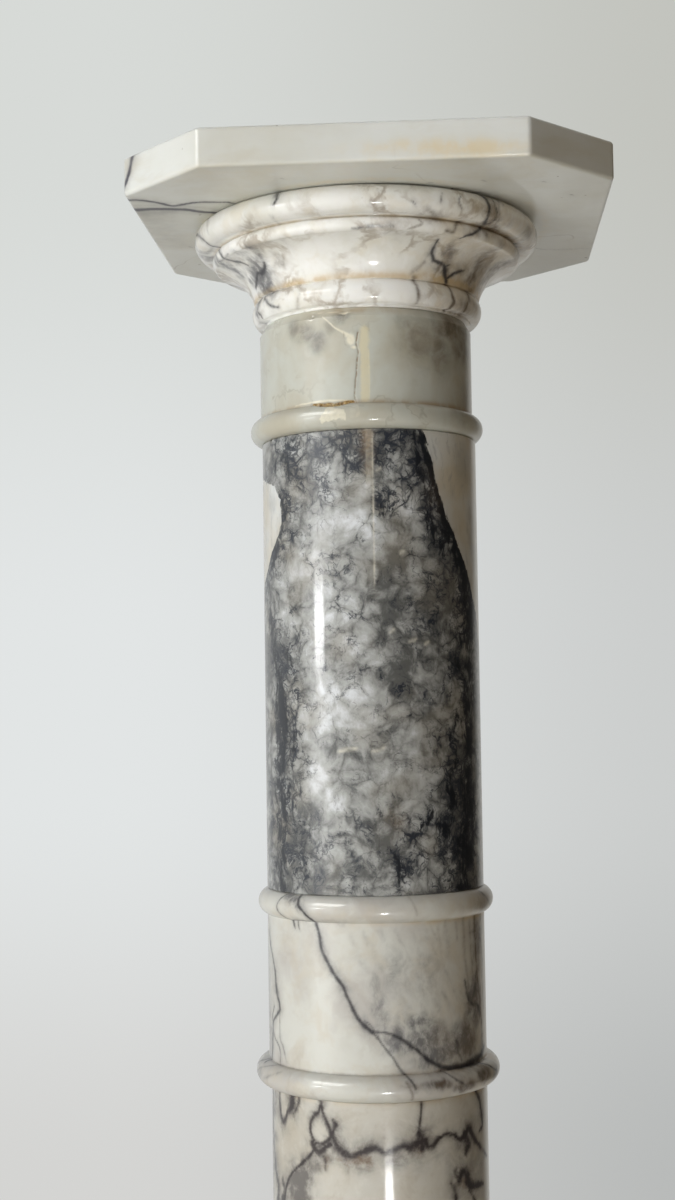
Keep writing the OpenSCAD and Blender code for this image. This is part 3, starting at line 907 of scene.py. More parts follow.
def make_neck(marble):
    side = np.vstack([
        swelling(65.4, 59.3, 14, 0, 34)[:-1],
        straight([(59.6, 13.85), (59.6, 61), (56.6, 66)], 0.55),
    ])
    neck = turned_stone("neck", side, NECK_COLUMNS)
    degrees, along = neck.degrees, neck.along
    # clouds, and brown stains; at the right, under the capital, the brown is partly painted shadow
    neck.blot("smoke", [
        (-30, 54, 8, 7, 1), (-23, 48, 7, 7, 0.95), (-38, 57, 6, 6, 0.8), (-10, 60, 7, 3.5, 0.9),
        (-16, 55, 5, 5, 0.6), (-27, 62, 6, 3, 0.6), (20, 45, 5, 14, 0.35), (-28, 40, 7, 5, 0.25),
        (135, 40, 12, 14, 0.5), (180, 30, 14, 9, 0.5), (215, 50, 10, 9, 0.6),
    ])
    neck.blot("brown", [
        (32, 48, 16, 22, 0.62), (24, 58, 10, 8, 0.6), (58, 58, 24, 9, 1.1), (66, 48, 16, 14, 0.9),
        (45, 44, 12, 18, 0.7), (70, 24, 12, 14, 0.55), (30, 32, 9, 22, 0.34), (25, 57, 5, 5, 0.7),
        (42, 58, 7, 6, 0.65), (34, 50, 5, 6, 0.5), (100, 50, 12, 14, 0.45), (54, 8, 12, 4, 0.5),
    ], waves=3.5)
    # the chalky patch, and pale lines at the top and over the ring
    neck.line("chalk", [
        (-20, 61.5, 0.5), (-17, 58.5, 0.6), (-13, 55, 0.6), (-9, 52.5, 0.8), (-5, 50, 1.3),
    ], 0.9, waves=0.6)
    neck.blot("chalk", [
        (-5, 48.2, 3, 4.2, 1.1), (-6.8, 51, 2, 2, 0.9), (-3.5, 43.6, 2.4, 1.4, 0.9),
        (-8, 62.6, 5, 0.9, 0.9), (-14, 63.4, 5, 0.9, 0.8), (-22, 64, 4, 0.8, 0.6),
    ], waves=1.0)
    neck.line("chalk", [
        (-37, 15, 0.5), (-30, 15.4, 0.6), (-22, 16, 0.8), (-14, 15.6, 0.7), (-6, 15, 0.6),
    ], 0.85, waves=0.5)
    # the pale fillings over the ring
    wobble = 3 * soft_noise(neck.spots, 6, 4, 12)
    round_it, up_it = degrees + wobble, along + wobble
    filling = ramp(round_it, -18.6, -17.8) * ramp(-round_it, 6.4, 7.4)
    filling = filling * ramp(up_it, 2.8, 4.2) * ramp(-up_it, -11.6, -10.2)
    second = ramp(round_it, -5.6, -4.8) * ramp(-round_it, -0.2, 0.8)
    second = second * ramp(up_it, 3.6, 5.2) * ramp(-up_it, -13.6, -12.6)
    neck.keep("chalk", 0.72 * filling + 0.45 * second)
    # the upright yellow filling, and the crack beside it
    neck.line("straw", [(2.2, 53, 2.2), (2.2, 46, 2.4), (1.8, 42, 2)], 1, waves=0.8)
    neck.line("straw", [(2.4, 42, 2.2), (2.4, 30, 2.3), (2.2, 16, 2.2)], 0.72, soft=4, waves=0.25)
    neck.line("chalk", [(4.3, 42, 0.4), (4.4, 30, 0.45), (4.3, 16, 0.4)], 0.6, waves=0.25)
    neck.line("ink", [
        (-1, 52, 0.4), (-2, 46, 0.5), (-1, 42.5, 0.5), (-1.6, 36, 0.4), (-2, 30, 0.4), (-2.8, 24, 0.4),
        (-3.4, 18, 0.5), (-2.2, 14.5, 0.7),
    ], 0.7, waves=0.6)
    neck.line("ink", [(-8.4, 52.5, 0.3), (-8, 46, 0.3), (-5.5, 44, 0.3)], 0.45, waves=0.6)
    # the open hollow over the ring, dirt, and a browner right side, partly stain and partly painted shade
    neck.line("cavity", [
        (-26, 14.2, 0.7), (-21, 13.6, 1.5), (-14, 13.2, 1.9), (-8, 13.6, 1.5), (-4, 14.2, 0.8),
    ], 1.1, soft=3, waves=0.8)
    top_stain = 0.5 * ramp(along, 60, 64) * ramp(degrees, -45, -5) * ramp(-degrees, -60, 0)
    right_stain_and_shade = 0.25 * ramp(degrees, 10, 60) * ramp(-degrees, -130, -90)
    neck.add("amber", 0.5 * hump(along, 14.2, 1.8) + top_stain + right_stain_and_shade)
    # the relief of the hollow, the patch, the crack and the chipped bevel
    grit = 0.6 + 0.4 * soft_noise(neck.spots, 1.6, 2, 4)
    neck.depth += 1.15 * ramp(neck.measures["cavity"], 0.3, 0.8) * grit
    crumbs = 0.4 + 0.6 * soft_noise(neck.spots, 2.2, 3, 6)
    neck.depth += 0.3 * ramp(neck.measures["chalk"], 0.4, 0.9) * crumbs * ramp(along, 14, 20)
    neck.depth += 0.25 * ramp(neck.measures["ink"], 0.35, 0.7)
    chips = ramp(soft_noise(neck.spots, 4.5, 3, 9), 0.1, 0.5)
    chips = 0.6 * chips * hump(along, 62.5, 1.6)
    neck.depth += chips * ramp(degrees, -34, -26) * ramp(-degrees, 0, 8)
    neck.wear([61, 66], 0.8, 0.35, 5, 0.35)
    return neck.build("grey_green_marble", marble)


# ---------------------------------------------------------------- drums

DRUM_HEIGHT = 246.5
# Millimetres on the face of the shaft for each degree round it
MM_A_DEGREE = 1.047


def plain_drum(radius):
    """The side of a plain drum, with a small bevel at its foot and its top."""
    bevel = 0.6
    top = DRUM_HEIGHT
    return straight([(radius - bevel, 0), (radius, bevel), (radius, top - bevel), (radius - bevel, top)], 1.3)


def make_upper_drum(marble):
    drum = turned_stone("upper_drum", plain_drum(60), DRUM_COLUMNS)
    drum.thicken = 1.15
    degrees, up = drum.degrees, drum.along
    wild = ramp(np.abs(degrees), 84, 104)
    line, blot = drum.line, drum.blot

    # the dark band down the right, and its branches
    line("ink", [
        (29, 248, 3), (32, 236, 3), (35, 225, 3.2), (38.5, 213, 3.6), (42, 201, 4.4), (46, 191, 4.2),
        (52, 182, 3.8), (58, 172, 3.8), (62, 164, 4.2), (65, 152, 5),
    ], 0.95, soft=2)
    line("ink", [
        (64, 158, 5), (66, 140, 6.5), (64, 122, 6), (65, 106, 6.5), (62, 92, 7), (62, 76, 7.5), (60, 60, 8),
        (60, 44, 9), (57, 30, 10), (58, 14, 10), (57, -2, 10),
    ], 1, soft=2, waves=1.6)
    line("ink", [(36, 198, 5), (38, 190, 6), (43, 180, 4)], 0.85, soft=2, waves=2)
    line("ink", [(46, 142, 4), (54, 134, 4), (47, 126, 4.5), (56, 118, 4)], 0.7, soft=2, waves=2.5)
    line("ink", [
        (52, 92, 3.5), (46, 80, 3), (50, 70, 3.5), (44, 58, 3), (48, 44, 5), (42, 34, 5), (36, 38, 3),
    ], 0.85, soft=2, waves=2)
    # the dark band down the left, and its branches
    line("ink", [
        (-46, 236, 2), (-45, 224, 2.4), (-46, 212, 2.2), (-48, 200, 2), (-53, 190, 1.8), (-60, 179, 1.6),
        (-68, 170, 1.6), (-74, 160, 2),
    ], 0.9, soft=2)
    line("ink", [
        (-80, 222, 2), (-66, 225, 2.2), (-56, 229, 2.4), (-48, 236, 2), (-40, 244, 1.8),
    ], 0.7, soft=2, waves=2.5)
    line("ink", [
        (-68, 166, 3.4), (-66, 154, 4), (-63, 142, 4.4), (-60, 130, 4.4), (-57, 118, 5), (-55, 104, 5.8),
        (-54, 92, 6.6), (-53, 78, 7.2), (-54, 64, 7.6), (-54, 48, 7.4), (-55, 32, 7), (-55, 16, 7),
        (-54, -2, 7),
    ], 1, soft=2, waves=1.3)
    line("ink", [
        (-47, 128, 3), (-42, 118, 2.8), (-40, 104, 2.6), (-41, 90, 2.4), (-43, 76, 2.2),
    ], 0.72, soft=2, waves=2)
    line("ink", [(-58, 112, 2.4), (-57, 96, 2.6), (-58, 84, 2)], 0.6, soft=2, waves=2)
    # knots in the middle
    line("ink", [(6, 207, 2.6), (10, 205, 3), (13, 202, 2.4), (8, 200, 2)], 0.85, soft=2, waves=2)
    line("ink", [(10, 24, 1.6), (14, 18, 2.2), (16, 10, 2.4), (15, 2, 2)], 0.85, soft=2, waves=2)
    line("ink", [(-25, 26, 1.8), (-20, 27, 1.8)], 0.7, soft=2, waves=2)
    line("ink", [(22, 30, 1.8), (30, 38, 2), (36, 42, 2.4)], 0.7, soft=2, waves=2)
    # short dashes between the puffs
    for dark in ([(12, 111, 1.4), (18, 108, 1.8), (25, 109, 1.8), (31, 112, 1.2)],
                 [(-3, 118, 1.4), (2, 119, 1.8), (7, 114, 1.2)], [(15, 95, 1), (23, 93, 1.4), (28, 90, 1)],
                 [(-18, 179, 1), (-12, 179, 1.4), (-6, 174, 1)], [(17, 163, 0.8), (20, 162, 1)],
                 [(40, 138, 1.4), (47, 141, 1.6), (51, 138, 1)], [(19, 60, 0.8), (21, 63, 0.8)]):
        line("ink", dark, 0.42, soft=2, waves=3, bleed=0.25)

    # where the net crowds, where the puffs are palest, and where they are dull
    blot("net", [
        (-10, 240, 34, 12, 0.95), (-38, 226, 12, 16, 1), (-42, 205, 9, 12, 0.95), (-40, 190, 6, 8, 0.8),
        (14, 236, 16, 14, 1.1), (10, 208, 9, 8, 1), (24, 222, 11, 18, 1), (32, 205, 10, 16, 1),
        (-22, 216, 12, 12, 0.8), (-4, 226, 14, 8, 0.75), (34, 184, 9, 12, 0.85), (46, 168, 10, 14, 0.8),
        (56, 150, 9, 22, 0.95), (50, 112, 8, 24, 0.7), (48, 60, 12, 22, 0.85), (40, 24, 14, 20, 1.05),
        (58, 30, 14, 40, 1.1), (18, 14, 14, 14, 0.95), (-6, 12, 16, 12, 0.7), (-30, 14, 14, 16, 0.8),
        (-38, 34, 10, 14, 0.7), (2, 38, 16, 8, 0.6), (24, 32, 10, 10, 0.7), (-52, 150, 10, 20, 0.5),
        (-50, 124, 13, 18, 0.95), (-44, 104, 10, 22, 0.85), (-48, 60, 11, 60, 0.95),
        (-14, 170, 10, 8, 0.45), (-8, 146, 12, 12, 0.35), (20, 108, 16, 8, 0.55), (2, 118, 8, 8, 0.55),
        (30, 146, 16, 12, 0.5),
    ])
    blot("pale", [
        (-22, 198, 12, 8, 1), (-6, 196, 14, 6, 0.9), (8, 188, 12, 7, 0.7), (21, 203, 7, 6, 0.9),
        (-18, 228, 7, 6, 0.6), (0, 214, 5, 5, 0.8), (14, 228, 5, 5, 0.7), (-26, 66, 9, 12, 1.2),
        (-20, 50, 7, 7, 1.2), (-22, 92, 16, 14, 1), (-14, 108, 16, 10, 0.9), (-10, 84, 12, 10, 0.75),
        (-34, 172, 12, 10, 0.7), (-20, 160, 10, 24, 0.55), (-48, 148, 5, 10, 0.6), (-8, 132, 10, 8, 0.6),
        (4, 126, 6, 5, 0.6), (-30, 130, 8, 20, 0.45), (-20, 24, 8, 6, 0.8), (-4, 22, 6, 5, 0.6),
        (12, 64, 9, 8, 0.5), (28, 60, 8, 8, 0.5), (-38, 236, 7, 6, 0.5),
    ])
    blot("smoke", [
        (4, 176, 16, 12, 0.5), (20, 158, 18, 14, 0.6), (46, 158, 10, 12, 0.6), (6, 152, 14, 10, 0.45),
        (24, 132, 18, 10, 0.5), (20, 110, 18, 8, 0.65), (24, 92, 16, 10, 0.5), (6, 86, 6, 8, 0.55),
        (-16, 60, 4, 8, 0.55), (-15, 168, 5, 6, 0.55), (-42, 138, 10, 16, 0.4), (16, 48, 16, 8, 0.4),
        (32, 76, 12, 14, 0.35), (50, 100, 9, 30, 0.4), (8, 230, 20, 12, 0.4), (-54, 100, 9, 40, 0.35),
        (-62, 212, 8, 8, 0.5), (-72, 188, 7, 14, 0.4), (62, 230, 14, 16, 0.5), (72, 190, 8, 30, 0.6),
        (50, 212, 6, 14, 0.4),
    ], waves=5)
    blot("amber", [
        (1.5, 240, 3.5, 9, 0.9), (2, 226, 2.5, 6, 0.45), (14, 40, 6, 6, 0.3), (40, 214, 8, 14, 0.15),
    ])

    # the borders with the cream stone, right and left
    wobble = 3.0 * soft_noise(drum.spots, 10, 5, 31) + 0.9 * soft_noise(drum.spots, 3.2, 3, 8)
    right_edge = np.interp(up, [0, 120, 150, 160, 172, 185, 200, 214, 224, 235, 246],
                           [92, 88, 76, 70, 64, 55, 46.5, 41, 38, 35, 32])
    left_edge = np.interp(up, [0, 160, 166, 171, 176, 183, 190, 200, 212, 220, 225, 230, 246],
                          [-110, -96, -80, -72, -67, -61, -55, -50.5, -51, -58, -72, -92, -110])
    past_right = degrees - right_edge + wobble
    past_left = left_edge - degrees + wobble
    beside = ramp(past_right, -0.8, 0.8) + ramp(past_left, -2.2, 2.2)
    drum.keep("ink", 1.4 * hump(past_right, -1.9, 2.2) * ramp(-degrees, -90, -78))
    drum.keep("ink", 0.85 * hump(past_right, -6, 6) * ramp(-degrees, -90, -78))
    drum.keep("ink", 0.95 * hump(past_left, -1.4, 1.6) * ramp(degrees, -90, -78) * ramp(-up, -224, -214))
    drum.keep("net", 0.9 * hump(past_left, -6, 7) * ramp(degrees, -90, -78))
    top_left = 0.8 * ramp(up, 220, 234) * ramp(-degrees, -28, -14) * ramp(degrees, -66, -52)
    drum.keep("net", top_left * (1 - wild))
    drum.keep("smoke", 0.4 * ramp(-degrees, 58, 66) * ramp(-up, -170, -150) * (1 - wild))
    drum.keep("net", 0.3 * ramp(-degrees, 56, 64) * ramp(-up, -170, -150) * (1 - wild))
    # the hidden back: islands of both stones
    beside = beside * (1 - wild)
    islands = soft_noise(drum.wavy * [1, 1, 0.55], 70, 3, 21)
    beside = beside + wild * ramp(islands, 0.02, 0.1)
    drum.add("plain", np.clip(beside, 0, 1))
    drum.add("ink", wild * 0.95 * hump(islands, 0.01, 0.06))
    drum.add("net", wild * (0.45 + 0.8 * soft_noise(drum.spots, 42, 2, 7)) * ramp(-islands, -0.1, 0.05))
    drum.add("pale", wild * 0.8 * ramp(soft_noise(drum.spots, 30, 2, 14), 0, 0.4))

    # the pale upright seam, and short pale lines
    from_seam = (degrees - 4.4) * MM_A_DEGREE
    seam = 1.3 * hump(from_seam, 0, 0.5) * ramp(up, 158, 170) * ramp(-up, -247, -243)
    drum.add("seam", seam * (0.55 + 0.45 * soft_noise(drum.spots, 9, 2, 2)))
    seam_side = 0.35 * ramp(degrees, 0.4, 1) * ramp(-degrees, -4.4, -3.6) * ramp(up, 208, 222)
    drum.add("seam", seam_side)
    line("seam", [(-15, 76, 0.35), (-11, 76.6, 0.4), (-6, 77, 0.3)], 1.2, waves=0.3)
    line("seam", [(2, 75.5, 0.25), (5, 76, 0.3), (8, 77.5, 0.25)], 0.7, waves=0.3)
    for a, b in ((22, 133), (24, 133.4), (12, 138.5), (31, 132), (18, 180), (6.5, 224)):
        line("seam", [(a, b, 0.5), (a + 1.6, b + 0.7, 0.35)], 1, waves=0.5)
    drum.depth += 0.12 * seam
    drum.wear([0, DRUM_HEIGHT], 1, 0.5, 6, 0.3)
    return drum.build("blue_grey_breccia", marble)


def make_ring_drum(marble):
    side = np.vstack([
        swelling(67, 59.7, 14, 0, 44),
        straight([(60, 14.05), (60, 92)], 0.85),
        swelling(65, 59.7, 14, 92, 40),
    ])
    drum = turned_stone("ring_drum", round_the_shaft(side, 1, 105), FRONT_AND_BACK)
    degrees, up = drum.degrees, drum.along
    line = drum.line
    # the long vein across the front, and its branches
    line("ink", [
        (-38, 106, 0.8), (-36.5, 101, 0.8), (-33, 97, 0.7), (-29.5, 92.5, 0.8), (-27.5, 86, 0.8),
        (-26, 78, 0.75), (-23.5, 73, 0.8), (-19.5, 66, 0.85), (-15, 60, 0.85), (-12.5, 54, 0.75),
        (-9.5, 47.5, 0.8), (-7, 43.5, 0.9), (-3.5, 39, 1), (0, 36, 1),
    ], 1.05, waves=0.7)
    # its wide dark end along the groove over the lower ring, at the right, is partly vein and partly painted
    # shadow in the groove
    line("ink", [
        (0, 36.5, 0.8), (4, 36.3, 0.55), (9, 35.2, 0.7), (14, 32.5, 0.8), (20, 28, 0.85), (27, 22, 1),
        (34, 17, 1.3), (41, 14.6, 1.8), (50, 14, 2.2), (60, 15, 2.4), (70, 17, 1.8), (76, 20, 1.2),
    ], 1, waves=0.9)
    line("ink", [
        (0, 36, 0.7), (3, 32, 0.6), (6, 28, 0.55), (9, 24.5, 0.6), (13, 18, 0.7), (17, 12, 0.7),
        (19, 7.5, 0.6),
    ], 0.8, waves=0.9)
    line("ink", [
        (-7, 43, 0.4), (-3, 41.5, 0.45), (0, 38.5, 0.45), (2.5, 34, 0.4), (5, 29, 0.35),
    ], 0.65, waves=0.8)
    line("ink", [(17, 41, 0.6), (24, 40, 0.9), (30, 38, 0.7)], 0.4, waves=2)
    # clouds and slanting smoke
    drum.blot("smoke", [
        (12, 32, 12, 8, 0.8), (24, 30, 15, 10, 0.95), (24, 41, 14, 5, 0.8), (4, 48, 6, 12, 0.6),
        (2, 60, 4, 10, 0.5), (-18, 92, 9, 3, 0.4), (32, 22, 14, 7, 1), (50, 26, 18, 10, 1),
        (62, 46, 12, 16, 0.9), (-76, 30, 8, 24, 0.6), (-80, 56, 8, 40, 0.55), (12, 66, 10, 18, 0.4),
        (28, 66, 14, 22, 0.36), (68, 78, 10, 22, 0.7), (30, 8, 9, 4, 0.8), (44, 5, 9, 3, 0.7),
        (60, 8, 10, 4, 0.8), (76, 6, 8, 5, 0.8), (-74, 6, 10, 5, 0.6),
    ], waves=4)
    for start in (-4, 4, 12, 20, 28):
        line("smoke", [
            (start, 88, 1.6), (start + 6, 74, 2.2), (start + 15, 58, 2.4), (start + 25, 44, 2),
        ], 0.32, waves=2.5)
    line("smoke", [(-10, 86, 2), (-4, 72, 2.4), (6, 58, 2.4), (18, 46, 2.4)], 0.25, waves=2)
    line("smoke", [(4, 50, 1), (5, 44, 1.3), (6, 38, 1)], 0.6, waves=1.5)
    # the left part
    line("ink", [
        (-46, 107, 0.5), (-50, 103.5, 0.6), (-52, 99, 0.5), (-50, 95, 0.6), (-46, 92.2, 0.6),
        (-40, 92.6, 0.6), (-32, 92.6, 0.5),
    ], 0.75, waves=0.5)
    line("ink", [(-45, 92, 0.7), (-44, 89.6, 0.8), (-43, 88, 0.4)], 0.8, waves=0.8)
    line("ink", [(-41, 92, 0.7), (-40.5, 89.5, 0.6), (-40, 88, 0.4)], 0.7, waves=0.8)
    line("smoke", [(-46, 105, 3), (-40, 104, 3), (-38, 101, 1.6)], 0.8, waves=1.5)
    line("ink", [
        (-77, 90, 0.6), (-74, 82, 0.8), (-71, 75, 0.9), (-67, 69, 0.9), (-64, 63, 1.1), (-62.5, 56, 1.4),
        (-61, 50, 1.2), (-58.8, 47, 1.1), (-58.4, 43, 1.1), (-61, 40.5, 0.8), (-65, 37.5, 0.9),
        (-68, 34, 0.9), (-69, 27, 0.9), (-70, 20, 0.9), (-72, 13, 0.9),
    ], 0.9, waves=1.0)
    line("ink", [
        (-66, 44, 0.7), (-69, 38, 0.8), (-68, 32, 0.7), (-65, 27, 0.6), (-60, 24, 0.7), (-58, 20, 0.7),
        (-58.5, 15, 0.6),
    ], 0.7)
    line("ink", [(-58, 42, 0.4), (-58.5, 34, 0.4), (-58, 28, 0.6), (-55, 24, 0.7), (-52, 16, 0.5)], 0.6)
    line("ink", [(-86, 8, 0.8), (-80, 12, 1), (-74, 14, 0.9)], 0.6)
    line("ink", [(-84, 3, 0.8), (-76, 8, 0.8), (-66, 12, 0.7), (-58, 14, 0.6)], 0.5)
    line("smoke", [(-70, 2, 1), (-60, 8, 1.2), (-50, 12, 1)], 0.45)
    # the right part: brown streaks and knots
    for streak, strength in (([(53, 92, 1.2), (54, 80, 1.5), (55, 66, 1.4), (57, 54, 1)], 0.5),
                             ([(64, 92, 1.4), (65, 80, 1.3), (66, 64, 1.2), (69, 50, 1.4), (71, 40, 1.4),
                               (73, 28, 1.5), (72, 16, 1.2)], 0.8),
                             ([(40, 92, 1.6), (41, 84, 2), (42, 74, 1.6)], 0.35),
                             ([(47, 90, 1.2), (48, 82, 1.2)], 0.4),
                             ([(73, 92, 1), (75, 70, 1.2), (76, 40, 1.2)], 0.5),
                             ([(30, 92, 1), (36, 82, 1.2)], 0.3),
                             ([(59, 90, 1), (60, 74, 1.3), (62, 56, 1)], 0.5),
                             ([(36, 90, 1.4), (37, 74, 1.6)], 0.3)):
        line("brown", streak, strength, waves=1.4)
    line("ink", [
        (53, 58, 0.9), (56, 51, 1.6), (58, 47, 1.4), (61, 45, 1), (65, 45, 1.2), (69, 41, 1.2),
        (70, 37, 0.8),
    ], 0.75, waves=1.5)
    line("ink", [(65, 62, 0.8), (64, 54, 1), (60, 48, 0.9)], 0.5, waves=1.5)
    line("ink", [(46, 29, 1.4), (47, 24, 1.6), (50, 17, 1.2)], 0.6, waves=1.5)
    drum.blot("brown", [
        (36, 34, 10, 9, 0.4), (56, 30, 12, 12, 0.5), (66, 60, 8, 26, 0.45), (32, 60, 9, 24, 0.2),
        (18, 7, 7, 4, 0.55), (32, 8, 9, 4, 0.7), (46, 5, 9, 4, 0.75), (60, 8, 9, 5, 0.8),
        (74, 6, 9, 5, 0.75), (64, 98, 14, 6, 0.4),
    ], waves=5)
    line("ink", [(36, 14, 0.7), (41, 10, 0.8), (46, 6, 0.7)], 0.7)
    line("ink", [(62, 14.5, 0.9), (70, 11, 0.9), (78, 6, 0.8)], 0.8)
    line("brown", [(15, 11, 0.9), (17, 6, 1), (18, 2, 0.8)], 0.6)
    line("brown", [(18, 107, 0.7), (20, 102, 0.8), (22, 96, 0.7)], 0.45)
    line("ink", [(66, 106, 1.4), (72, 100, 1.2), (78, 96, 1)], 0.5)
    # the hidden back
    for turn, lean in ((112, 34), (168, -26), (226, 22)):
        line("ink", [
            (turn, 107, 0.7), (turn + 0.2 * lean, 92, 0.8), (turn + 0.5 * lean, 70, 0.9),
            (turn + 0.6 * lean, 52, 0.8), (turn + lean, 30, 0.9), (turn + 1.2 * lean, 12, 1),
            (turn + 1.3 * lean, 0, 0.8),
        ], 0.95)
        line("ink", [
            (turn + 0.6 * lean, 52, 0.6), (turn + 0.2 * lean, 38, 0.6), (turn + 0.1 * lean, 14, 0.8),
        ], 0.75)
        drum.blot("smoke", [(turn + lean, 40, 14, 14, 0.5), (turn, 70, 10, 20, 0.25)], waves=3)
    # dirt in the grooves at the left, and a browner right side that is partly stain and partly painted shade
    grooves = hump(up, 91.6, 1.5) + 0.7 * hump(up, 14.3, 1.2)
    groove_dirt = 0.35 * grooves * ramp(degrees, -50, 10)
    right_stain_and_shade = 0.26 * ramp(degrees, 4, 50) * ramp(-degrees, -130, -90)
    drum.add("amber", groove_dirt + right_stain_and_shade)
    drum.add("brown", 0.35 * hump(up, 14.3, 0.8))
    return drum.build("veined_white_marble", marble)


def make_lower_drum(marble):
    drum = turned_stone("lower_drum", plain_drum(59.4), DRUM_COLUMNS)
    drum.thicken = 1.2
    drum.bleed = 0.85
    degrees, up = drum.degrees, drum.along
    line = drum.line
    # loops and knots under the ring, at the left
    line("ink", [(-49, 248, 2), (-49, 243, 2.2), (-50, 239, 2.2), (-53, 236, 1.2)], 0.95, soft=2, waves=1.2)
    line("ink", [(-43.5, 248, 1), (-45, 241, 1.4), (-48, 237, 1.4)], 0.75, waves=1.2)
    line("ink", [
        (-53, 237, 0.9), (-55, 233, 1.4), (-58, 230.5, 1.8), (-61, 233, 1), (-62, 240, 0.8),
        (-62, 248, 0.7),
    ], 0.95, waves=1.0)
    line("ink", [
        (-28.8, 248, 1), (-28, 241, 0.9), (-26, 237, 0.9), (-24, 233, 1.1), (-23, 229, 1.2),
        (-24.5, 226, 1.2), (-28, 223.7, 0.8), (-31, 223.5, 0.9), (-34, 225.5, 0.9), (-35.5, 229, 0.8),
        (-35, 234, 0.8), (-33, 237.5, 1), (-30, 240, 0.9), (-29, 244, 0.9),
    ], 1, waves=0.7)
    line("ink", [
        (-21.5, 236.5, 1), (-20.5, 235, 1.5), (-22, 230, 1.3), (-21, 226, 1.7), (-18, 222.5, 1.7),
        (-14, 220.5, 1.2),
    ], 0.95, waves=1.2)
    line("ink", [
        (-35, 224, 1.2), (-33, 221, 1.8), (-30, 219.5, 2), (-26, 222, 1.2), (-23, 224, 1.2),
    ], 0.95, soft=2, waves=1.4)
    # the level vein round the front
    line("ink", [
        (-20, 223, 1.8), (-16, 220, 1.3), (-12, 219.6, 1.4), (-8, 220.5, 1.6), (-4, 222.4, 1.9),
        (0, 223.2, 1.9), (4, 221.4, 1.3), (8, 222, 1.4), (13, 224, 1.4), (18, 223, 2), (22, 225, 2.8),
        (25, 226, 2.6), (27, 223, 1.3), (30, 222.3, 1), (34, 226.4, 1), (38, 227.8, 0.9), (43, 226.6, 0.9),
        (47, 223.4, 1.2), (51, 224, 1.8), (55, 227.4, 2.2), (57, 225, 2.2), (60, 221, 1.8),
        (64, 217.6, 1.3), (70, 213, 0.9), (78, 208, 0.7),
    ], 1, waves=1.4)
    # knots on it, and veins up to the ring
    line("ink", [(23, 231, 1.4), (23.5, 227, 2.6), (24, 222.6, 1.6)], 0.95, soft=2, waves=1.8)
    line("ink", [(51, 225, 2), (53, 220, 3.2), (52, 215, 1.6)], 0.9, soft=2, waves=2)
    line("ink", [(23.5, 248, 0.5), (23.7, 241, 0.4), (23, 235, 0.45), (22.6, 229, 0.6)], 0.95, waves=0.7)
    line("ink", [
        (60, 248, 0.8), (64, 244, 1.3), (67, 239, 1.3), (69.5, 232, 1.2), (70.5, 226, 1), (66, 224, 0.8),
    ], 0.95)
    # veins that run down from it, left and right
    line("ink", [
        (-33, 220.5, 0.9), (-36, 216.5, 0.8), (-40, 213, 0.9), (-45, 209, 0.9), (-50, 205, 0.9),
        (-54, 200, 0.9), (-56.5, 194, 1), (-58.5, 186, 1), (-62, 176, 0.9), (-64, 164, 0.8),
    ], 1, waves=0.8)
    line("ink", [(-29, 219, 1), (-27, 216, 0.9), (-26.5, 211, 0.5)], 0.7, waves=1.2)
    line("ink", [(-60, 200, 1.4), (-58, 195, 2.2), (-60, 188, 2.4), (-64, 180, 1.6)], 0.8, soft=2, waves=2)
    line("ink", [
        (43.5, 208, 1.4), (46, 203, 2), (48, 206, 2.2), (52, 205, 2.6), (54, 200, 2.8), (58, 197, 2.6),
        (63, 196.5, 1.8), (70, 194.6, 1),
    ], 0.95, soft=2, waves=2)
    line("ink", [(41, 202, 1), (43.5, 197, 1.2), (43, 190, 1), (42, 183, 0.7)], 0.85, waves=1.4)
    line("ink", [(54, 196, 1), (62, 184, 1.2), (64, 170, 1), (56, 156, 1)], 0.75, waves=1.6)
    line("ink", [
        (-76, 248, 1.2), (-74, 236, 1.4), (-76, 224, 1.3), (-73, 212, 1.4), (-70, 202, 1.8),
        (-66, 194, 2.4), (-68, 182, 2), (-72, 168, 1.4),
    ], 0.9, waves=1.2)
    # clouds, and brown that bleeds downwards
    drum.blot("smoke", [
        (-72, 238, 12, 14, 1), (-77, 224, 8, 26, 1.1), (-40, 205, 9, 12, 1.3), (-45, 197, 13, 17, 1.45),
        (-32, 212, 6, 7, 0.8), (-74, 204, 10, 22, 1.1), (-82, 214, 10, 26, 0.9), (-24, 216, 8, 5, 0.9),
        (-8, 215, 10, 6, 0.95), (10, 217, 10, 6, 0.8), (36, 218, 9, 5, 0.55), (46, 212, 10, 8, 0.75),
        (52, 202, 10, 9, 0.8), (-56, 180, 13, 22, 1.1), (66, 206, 10, 12, 0.6), (24, 226, 7, 6, 0.6),
        (55, 232, 9, 8, 0.5), (66, 234, 7, 12, 0.6), (-56, 238, 7, 8, 0.6),
    ], waves=4)
    drum.blot("brown", [
        (-9, 217, 7, 4, 0.8), (-17, 217, 5, 3.5, 0.6), (-4, 216, 3, 3.5, 0.7), (-26, 215, 3, 5, 0.5),
        (22, 222, 8, 4, 0.5), (4, 227, 3, 4, 0.4), (5, 233, 1.4, 5, 0.3), (28, 236, 5, 10, 0.2),
        (55, 234, 10, 10, 0.22), (50, 202, 8, 6, 0.5), (52, 238, 7, 8, 0.2), (66, 224, 6, 8, 0.35),
        (60, 212, 8, 5, 0.3),
    ], waves=2.5)
